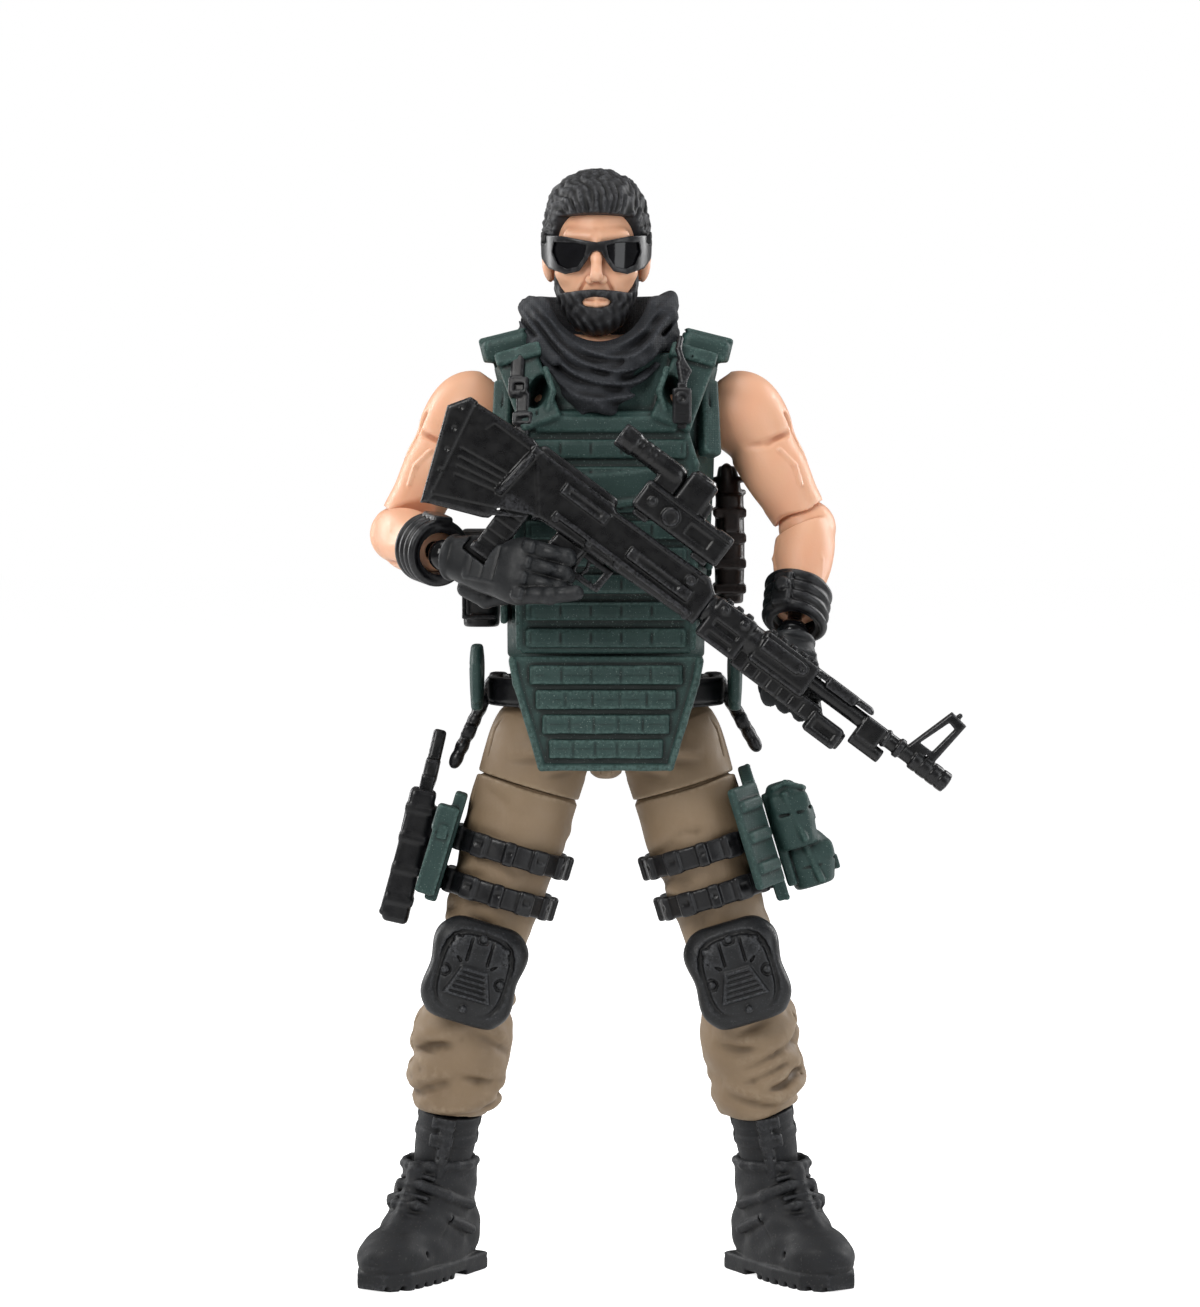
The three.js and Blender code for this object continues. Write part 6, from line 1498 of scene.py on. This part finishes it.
def make_boot(paints, side, ankle, shin_length, cuff, mirror, shin_frame):
    end = -shin_length + 0.35
    shaft = Field((-4.2, -4.6, end - 0.9), (4.2, 4.6, cuff + 3.8), 0.13)
    shaft.add(limb([[cuff + 0.9, 3.1, 3.5, 0, 0.2], [-15.0, 2.95, 3.35, 0, 0.2], [end + 1.6, 2.75, 3.0],
        [end, 2.5, 2.75]], 2.0, 0.3))
    for z in (-14.4, -16.2):
        shaft.add(limb([[z + 0.5, 3.05, 3.45, 0, 0.15], [z - 0.5, 3.05, 3.4, 0, 0.15]], 2.0, 0.2), 0.15)
        shaft.add(box((0.4, -3.4, z), (2.2, 0.7, 1.3), 0.25), 0.1)
        shaft.cut(box((0.4, -3.8, z), (1.3, 0.3, 0.4), 0.08), 0.05)
    shaft.add(rod((0, -3.3, cuff), (0, -3.2, end + 0.5), 0.55), 0.4)
    for k in range(5):
        shaft.groove([(-0.9, -3.5, -13.6 - 1.0 * k), (0.9, -3.5, -14.0 - 1.0 * k)], 0.13, 0.08)
    shaft.groove([(2.9, -0.6, cuff), (2.7, -0.4, end)], 0.13,
        0.1).groove([(-2.9, -0.6, cuff), (-2.7, -0.4, end)], 0.13, 0.1)
    shaft.groove([(0, 3.4, cuff), (0, 3.1, end)], 0.15, 0.15)
    shaft.keep(box((0, 0, (end + cuff - 0.3) / 2), (12, 12, cuff - 0.3 - end), 0.2), 0.1)
    shaft.add(disc((0, 0, cuff - 1.2), (0, 0, cuff + 3.2), 1.75), 0.05)
    shaft.cut(disc((0, 0, -shin_length - 1), (0, 0, -shin_length + 2.9), 2.05, 0.2), 0.1)
    shaft.mesh(f"boot_leg_{side}", paints["boot"], f"boot_shaft_{side}", "boot", [f"boot_shaft_{side}"],
        mirror @ shin_frame)

    foot = mirror @ Matrix.Translation(ankle) @ Matrix.Rotation(TOE_OUT, 4, "Z")
    joint = sculpt(0.12, ball((0, 0, 0), 1.45), box((0, 0, 1.2), (1.75, 1.55, 1.95), 0.2))
    joint.mesh(f"ankle_joint_{side}", paints["peg"], f"ankle_{side}", "peg", [f"ankle_ball_{side}"], foot)

    floor = FLOOR - ankle.z
    boot = Field((-4.4, -12.2, floor - 0.5), (4.4, 5.8, 2.6), 0.14)
    boot.add(limb([[1.7, 3.25, 3.65, 0, 0.1], [-0.6, 3.3, 3.95, 0, -0.1], [-2.2, 3.2, 4.6, 0, -0.9],
        [-4.0, 3.15, 5.9, 0, -2.1],
                   [-6.0, 3.2, 7.0, 0, -3.1], [floor + 1.0, 3.1, 7.2, 0, -3.3]], 2.3, 0.5))
    boot.add(ellipsoid((0.05, -7.6, floor + 2.7), (3.2, 3.6, 2.7)), 0.8)
    boot.add(ellipsoid((0, 2.0, floor + 4.2), (2.8, 2.6, 3.4)), 0.7)
    sole = [(-2.8, 4.1), (2.8, 4.1), (3.15, 0), (3.55, -4.8), (3.2, -8.9), (1.6, -11.2), (-1.4, -11.2),
        (-3.1, -8.9),
            (-3.45, -4.8), (-3.1, 0)]
    boot.add(slab(sole, floor, floor + 1.75, 0.3, "xy"), 0.1)
    boot.cut(box((0, -0.9, floor + 0.1), (8, 2.2, 0.9), 0.25), 0.2)
    loop = [(1.05 * x, 1.01 * y, floor + 1.25) for x, y in sole]
    for a, b in pairs(loop + loop[:1]):
        boot.cut(rod(a, b, 0.14), 0.06)
    for k in range(-3, 4):
        boot.cut(box((0, -6.8 + 1.35 * k, floor + 0.15), (8, 0.42, 0.7), 0.12), 0.08)
    boot.cut(slab([(1.06 * x, 1.02 * y) for x, y in sole], floor - 2, floor + 0.02, 0.05, "xy"))
    cap_line = [(3.3 * math.sin(t), -6.3 - 0.35 * math.cos(t) ** 2, floor + 4.6 - 1.9 * math.sin(t) ** 2)
                for t in np.linspace(-1.5, 1.5, 11)]
    boot.groove(cap_line, 0.17, 0.12)
    boot.chain([(0, -3.9, 0.9), (0, -4.9, -1.6), (0, -6.6, -3.6), (0, -7.6, -4.6)], 0.85, 0.5)
    for k in range(6):
        y, z = -4.3 - 0.55 * k, 0.5 - 0.85 * k
        boot.chain([(-1.7, y + 0.8, z - 0.2), (0, y - 0.25, z + 0.3), (1.7, y + 0.8, z - 0.2)], 0.24, 0.08)
    for high, low in ((-0.2, -2.6), (-2.0, -5.0)):
        boot.chain([(-3.25, 0.6, low), (-2.9, -2.6, (high + low) / 2), (-1.2, -4.6 + 0.5 * high, high),
            (1.2, -4.6 + 0.5 * high, high),
                    (2.9, -2.6, (high + low) / 2), (3.25, 0.6, low)], 0.5, 0.15)
    boot.add(box((1.9, -4.6, -1.9), (1.5, 1.5, 1.0), 0.25, (35, 20, -20)), 0.12)
    boot.groove([(-3.2, 1.2, -5.8), (-3.1, 2.8, -2.8), (0, 4.7, -1.8), (3.1, 2.8, -2.8), (3.2, 1.2, -5.8)],
        0.15, 0.12)
    boot.groove([(-3.1, -2.4, -3.4), (-3.3, -5.2, -6.2)], 0.14,
        0.12).groove([(3.1, -2.4, -3.4), (3.3, -5.2, -6.2)], 0.14, 0.12)
    collar = [(3.25 * math.sin(t), 0.1 - 3.65 * math.cos(t), 1.35) for t in np.linspace(-math.pi, math.pi,
        17)]
    boot.chain(collar, 0.42, 0.25)
    boot.lift(lambda x, y, z: 0.07 * np.sin(1.7 * y + 1.1 * z + x) * np.sin(1.5 * z + 0.7 * x),
              (-9, -11.5, floor + 2.4), (9, 5, 2.4))
    boot.cut(limb([[3.4, 3.1, 3.5, 0, 0.1], [1.0, 2.95, 3.3, 0, 0.1], [-0.6, 2.7, 2.9], [-1.4, 1.9, 2.1]]),
        0.15)
    boot.cut(ball((0, 0, 0), 1.78), 0.05)
    boot.mesh(f"combat_boot_{side}", paints["boot"], f"boot_{side}", "boot", [f"boot_{side}"], foot)


# ---------- Thigh rigs ----------
def thigh_space(grow=0.25):
    return limb([[-3, 5.05, 5.25, 0.1], [-8, 5.05, 5.25], [-12, 4.65, 4.95], [-16, 4.25, 4.5],
        [-21, 4.1, 4.2]], grow=grow)


def thigh_straps(field):
    for z, hx, hy in ((-10.8, 5.15, 5.35), (-14.9, 4.85, 5.05)):
        field.add(limb([[z + 1.05, hx + 0.62, hy + 0.62], [z - 1.05, hx + 0.62, hy + 0.62]], 2.0, 0.3), 0.1)
        for angle in range(-150, 181, 30):
            a = math.radians(angle)
            at = ((hx + 0.55) * math.sin(a), -(hy + 0.55) * math.cos(a), z)
            wide = 1.7 if angle % 60 else 1.1
            field.add(box(at, (wide, 0.85, 2.3), 0.3, (0, 0, angle)), 0.12)
            field.cut(box((at[0] * 1.09, at[1] * 1.09, z + 0.15), (wide * 0.5, 0.4, 0.5), 0.1,
                (0, 0, angle)), 0.06)


def make_rigs(paints):
    hip, knee = place("hip_swing_left"), (place("knee_upper_left") + place("knee_lower_left")) / 2
    frame_left = facing(hip, knee, FRONT)
    frame_right = Matrix.Diagonal((-1, 1, 1, 1)) @ facing(flipped(place("hip_swing_right"), -1),
        flipped((place("knee_upper_right") + place("knee_lower_right")) / 2, -1), FRONT)

    for side, where in (("right", frame_right), ("left", frame_left)):
        straps = Field((-6.9, -7.1, -17.2), (7.2, 7.1, -8.8), 0.14)
        thigh_straps(straps)
        straps.cut(thigh_space(0.12))
        straps.mesh(f"thigh_straps_{side}", paints["gear"], f"thigh_{side}", "gear", [], where)

    panel = sculpt(0.13, box((5.9, -0.6, -12.0), (1.2, 5.5, 10.5), 0.3),
        box((6.6, -4.2, -12.4), (1.85, 3.3, 8.5), 0.35))
    panel.add(box((6.75, -4.3, -9.4), (2.0, 3.35, 2.6), 0.4), 0.12)
    panel.groove([(5.6, -5.95, -10.8), (7.6, -5.95, -10.8)],
        0.14).groove([(7.6, -5.9, -10.8), (7.6, -2.6, -10.8)], 0.14)
    panel.add(disc((6.6, -5.8, -10.3), (6.6, -6.15, -10.3), 0.45, 0.12),
        0.06).add(box((6.6, -5.9, -10.6), (1.0, 0.4, 1.3), 0.3), 0.08)
    panel.chain([(5.8, -5.8, -16.4), (5.8, -5.85, -8.3), (7.4, -5.85, -8.3), (7.4, -5.8, -16.4)], 0.16, 0.1)
    for z in (-8.2, -12.0, -15.6):
        panel.groove([(6.7, -2.2, z), (6.7, 2.1, z)], 0.14, 0.08)
    panel.cut(thigh_space(0.3))
    panel.mesh("snap_pouch_panel", paints["vest"], "thigh_right", "vest", ["holster_panel_right"],
        frame_right)

    holster = Field((6.6, -2.6, -21.4), (11.0, 3.4, -6.2), 0.13)
    tilt = (0, 4, 0)
    holster.add(box((9.0, 0.4, -13.9), (2.5, 4.3, 12.9), 0.5, tilt)).add(box((8.1, 0.2, -11.8),
        (2.4, 3.4, 6.0), 0.4, tilt), 0.3)
    for z in (-9.4, -12.2, -15.2, -18.2):
        holster.add(box((9.0 + (z + 13.9) * 0.07, 0.4, z), (2.75, 4.55, 0.9), 0.25, tilt), 0.12)
    holster.chain([(10.15, -1.5, -8.2), (9.9, -1.5, -19.6), (9.7, 2.2, -19.6)], 0.28, 0.2)
    holster.groove([(10.35, 0.4, -8.6), (9.9, 0.4, -19.4)], 0.15, 0.12)
    holster.add(box((10.2, 0.3, -10.8), (0.7, 1.6, 2.2), 0.25, tilt),
        0.1).cut(box((10.5, 0.3, -10.8), (0.4, 0.8, 0.8), 0.1, tilt), 0.05)
    holster.cut(box((9.0, 0.4, -11.7), (1.95, 3.15, 12.9), 0.1, tilt))
    holster.mesh("drop_holster", paints["gear"], "thigh_right", "gear", ["holster_right"], frame_right)

    pistol = Field((7.8, -2.0, -17.8), (11.0, 3.4, -0.6), 0.11)
    pistol.add(box((9.0, 0.4, -11.6), (1.35, 2.35, 11.1), 0.25, tilt)).add(box((9.35, 0.7, -5.6),
        (1.35, 2.5, 2.2), 0.3, tilt), 0.15)
    pistol.add(box((9.4, 0.9, -4.4), (1.25, 2.1, 5.3), 0.35, (-14, 4, 0)), 0.2)
    for k in range(6):
        pistol.cut(box((9.4, 0.0 - 0.17 * k * 0.3, -2.4 - 0.5 * k), (1.6, 0.16, 0.16), 0.04, tilt), 0.04)
        for s in (-1, 1):
            pistol.groove([(9.4 + s * 0.68, 0.1, -2.6 - 0.5 * k), (9.4 + s * 0.68, 1.8, -2.4 - 0.5 * k)],
                0.09, 0.04)
    pistol.mesh("side_arm", paints["gunmetal"], "pistol", "gunmetal", ["pistol"], frame_right)

    outline = [(-3.5, -5.5), (0.0, -4.1), (3.7, -6.7), (3.3, -15.9), (-2.9, -17.3), (-3.9, -6.4)]
    backing = Field((3.2, -7.8, -18.0), (7.4, 4.4, -3.4), 0.13)
    backing.add(slab(outline, 5.45, 6.55, 0.3, "yz")).cut(thigh_space(0.3))
    for a, b in pairs(outline + outline[:1]):
        backing.add(rod((6.45, a[0] * 0.93, a[1] * 0.97 - 0.35), (6.45, b[0] * 0.93, b[1] * 0.97 - 0.35),
            0.24), 0.1)
    backing.add(box((5.3, -5.2, -10.6), (0.9, 4.0, 9.8), 0.35, (0, 0, -38)), 0.2)
    for z in (-7.6, -10.6, -13.6):
        backing.add(box((5.6, -5.45, z), (0.9, 3.2, 1.1), 0.3, (0, 0, -38)), 0.12)
    backing.mesh("side_panel", paints["vest"], "thigh_left", "vest", ["pouch_panel_left"], frame_left)

    drop = Field((6.4, -4.0, -18.6), (12.8, 4.6, -5.4), 0.13)
    x, z = 8.75, -2.4
    drop.add(limb([[z - 4.2, 1.2, 1.8, x, -0.4], [z - 5.6, 1.85, 2.55, x + 0.2, -0.4],
        [z - 10.6, 1.95, 2.65, x + 0.2, -0.4]], 3.0, 0.5))
    drop.add(limb([[z - 9.4, 1.6, 2.2, x + 0.6, 0.9], [z - 11.0, 2.25, 2.75, x + 0.9, 0.9],
        [z - 14.6, 1.95, 2.55, x + 0.6, 0.9]], 3.0, 0.5), 0.2)
    drop.add(box((x + 0.5, -0.7, z - 6.2), (3.6, 4.6, 1.6), 0.5, (0, 8, 0)),
        0.2).add(box((x + 1.2, 0.8, z - 11.4), (4.0, 4.9, 1.8), 0.5, (0, 8, 0)), 0.2)
    drop.groove([(x + 2.2, -2.8, z - 7.2), (x + 2.2, 2.0, z - 7.2)], 0.16,
        0.1).groove([(x + 3.1, -1.6, z - 12.5), (x + 3.1, 3.4, z - 12.5)], 0.16, 0.1)
    drop.groove([(x - 0.8, -3.1, z - 7.2), (x + 1.8, -3.1, z - 7.4)], 0.16,
        0.1).groove([(x - 0.4, -1.9, z - 12.6), (x + 2.6, -1.9, z - 12.8)], 0.16, 0.1)
    drop.chain([(x + 0.2, -2.9, z - 5.4), (x + 0.9, -3.05, z - 9.9)], 0.34,
        0.15).chain([(x + 0.8, -1.75, z - 10.8), (x + 1.3, -1.85, z - 14.2)], 0.34, 0.15)
    drop.chain([(x - 0.6, -2.4, z - 4.6), (x + 0.6, -2.6, z - 4.3), (x + 2.0, -1.8, z - 5.2),
        (x + 2.2, 0, z - 5.4)], 0.26, 0.15)
    drop.add(box((x + 2.2, -0.4, z - 7.8), (0.6, 1.2, 1.4), 0.2),
        0.08).add(box((x + 3.1, 0.9, z - 13.0), (0.6, 1.2, 1.4), 0.2), 0.08)
    drop.add(box((x - 1.45, -0.3, z - 9.4), (0.9, 3.4, 9.0), 0.25), 0.2)
    drop.mesh("side_pouches", paints["vest"], "thigh_left", "vest", ["drop_pouch_left"], frame_left)


def make_legs(paints):
    for s, side in ((1, "left"), (-1, "right")):
        make_leg(paints, s, side)


# ---------- Camera, light and floor ----------
def to_metres(x, y, z):
    return (CENTRE + Vector((x, y, z))) * MM


def aimed(obj, target):
    obj.rotation_euler = (target - obj.location).to_track_quat("-Z", "Y").to_euler()
    bpy.context.scene.collection.objects.link(obj)


def add_light(name, at, size_mm, power, colour):
    data = bpy.data.lights.new(name, "AREA")
    data.shape = "RECTANGLE"
    data.size, data.size_y = (s * MM for s in size_mm)
    data.energy = power
    data.color = colour
    lamp = bpy.data.objects.new(name, data)
    lamp.location = to_metres(*at)
    aimed(lamp, to_metres(0, 0, 58))


AMBIENT = 0.17  # light from the room, under a backdrop that is seen as white
CAMERA_TARGET = (-0.56, -3.0, 58.1)  # mm, in the frame that to_metres reads
CAMERA_DISTANCE = 0.430  # metres
CAMERA_ELEVATION = math.radians(3.5)
SENSOR_HEIGHT = 36.0
LENS = 126.0
FLOOR_REACH = 1.5  # metres to each side


def make_studio():
    look_at = to_metres(*CAMERA_TARGET)
    towards = Vector((0, -math.cos(CAMERA_ELEVATION), math.sin(CAMERA_ELEVATION)))
    data = bpy.data.cameras.new("camera")
    data.sensor_fit = "VERTICAL"
    data.sensor_height = SENSOR_HEIGHT
    data.lens = LENS
    camera = bpy.data.objects.new("camera", data)
    camera.location = look_at + towards * CAMERA_DISTANCE
    aimed(camera, look_at)
    bpy.context.scene.camera = camera

    add_light("key", (-170, -270, 260), (170, 200), 0.82, (1.0, 0.99, 0.97))
    add_light("fill", (240, -210, 120), (160, 240), 0.32, (0.96, 0.98, 1.0))
    add_light("rim_right", (-230, 130, 150), (80, 240), 0.55, (1, 1, 1))
    add_light("rim_left", (230, 140, 160), (80, 240), 0.55, (1, 1, 1))
    add_light("top", (0, -20, 330), (180, 180), 0.25, (1, 1, 1))

    world = bpy.data.worlds.new("studio")
    world.use_nodes = True
    tree = world.node_tree
    background = tree.nodes["Background"]
    background.inputs["Color"].default_value = (1.0, 1.0, 1.0, 1)
    seen = tree.nodes.new("ShaderNodeLightPath").outputs["Is Camera Ray"]
    strength = tree.nodes.new("ShaderNodeMapRange")
    strength.inputs["To Min"].default_value = AMBIENT
    tree.links.new(seen, strength.inputs["Value"])
    tree.links.new(strength.outputs[0], background.inputs["Strength"])
    bpy.context.scene.world = world
    bpy.context.scene.view_settings.view_transform = "Standard"

    mesh = bpy.data.meshes.new("floor")
    reach = FLOOR_REACH
    corners = [(-reach, -reach, 0), (reach, -reach, 0), (reach, reach, 0), (-reach, reach, 0)]
    mesh.from_pydata(corners, [], [(0, 1, 2, 3)])
    floor = bpy.data.objects.new("floor", mesh)
    pale = bpy.data.materials.new("pale_floor")
    pale.use_nodes = True
    shader = pale.node_tree.nodes["Principled BSDF"]
    shader.inputs["Base Color"].default_value = (0.9, 0.9, 0.9, 1)
    shader.inputs["Roughness"].default_value = 0.8
    shader.inputs["Emission Color"].default_value = (0.84, 0.84, 0.84, 1)
    seen = pale.node_tree.nodes.new("ShaderNodeLightPath").outputs["Is Camera Ray"]
    pale.node_tree.links.new(seen, shader.inputs["Emission Strength"])
    mesh.materials.append(pale)
    bpy.context.scene.collection.objects.link(floor)


# ---------- Making, from the head down ----------
MAKERS = [
    make_head,
    make_scarf,
    make_vest,
    make_chest,
    make_vest_gear,
    make_flap,
    make_pelvis,
    make_arms,
    make_gun,
    make_legs,
    make_rigs,
]

make_studio()
paints = make_paints()
for make in MAKERS:
    make(paints)
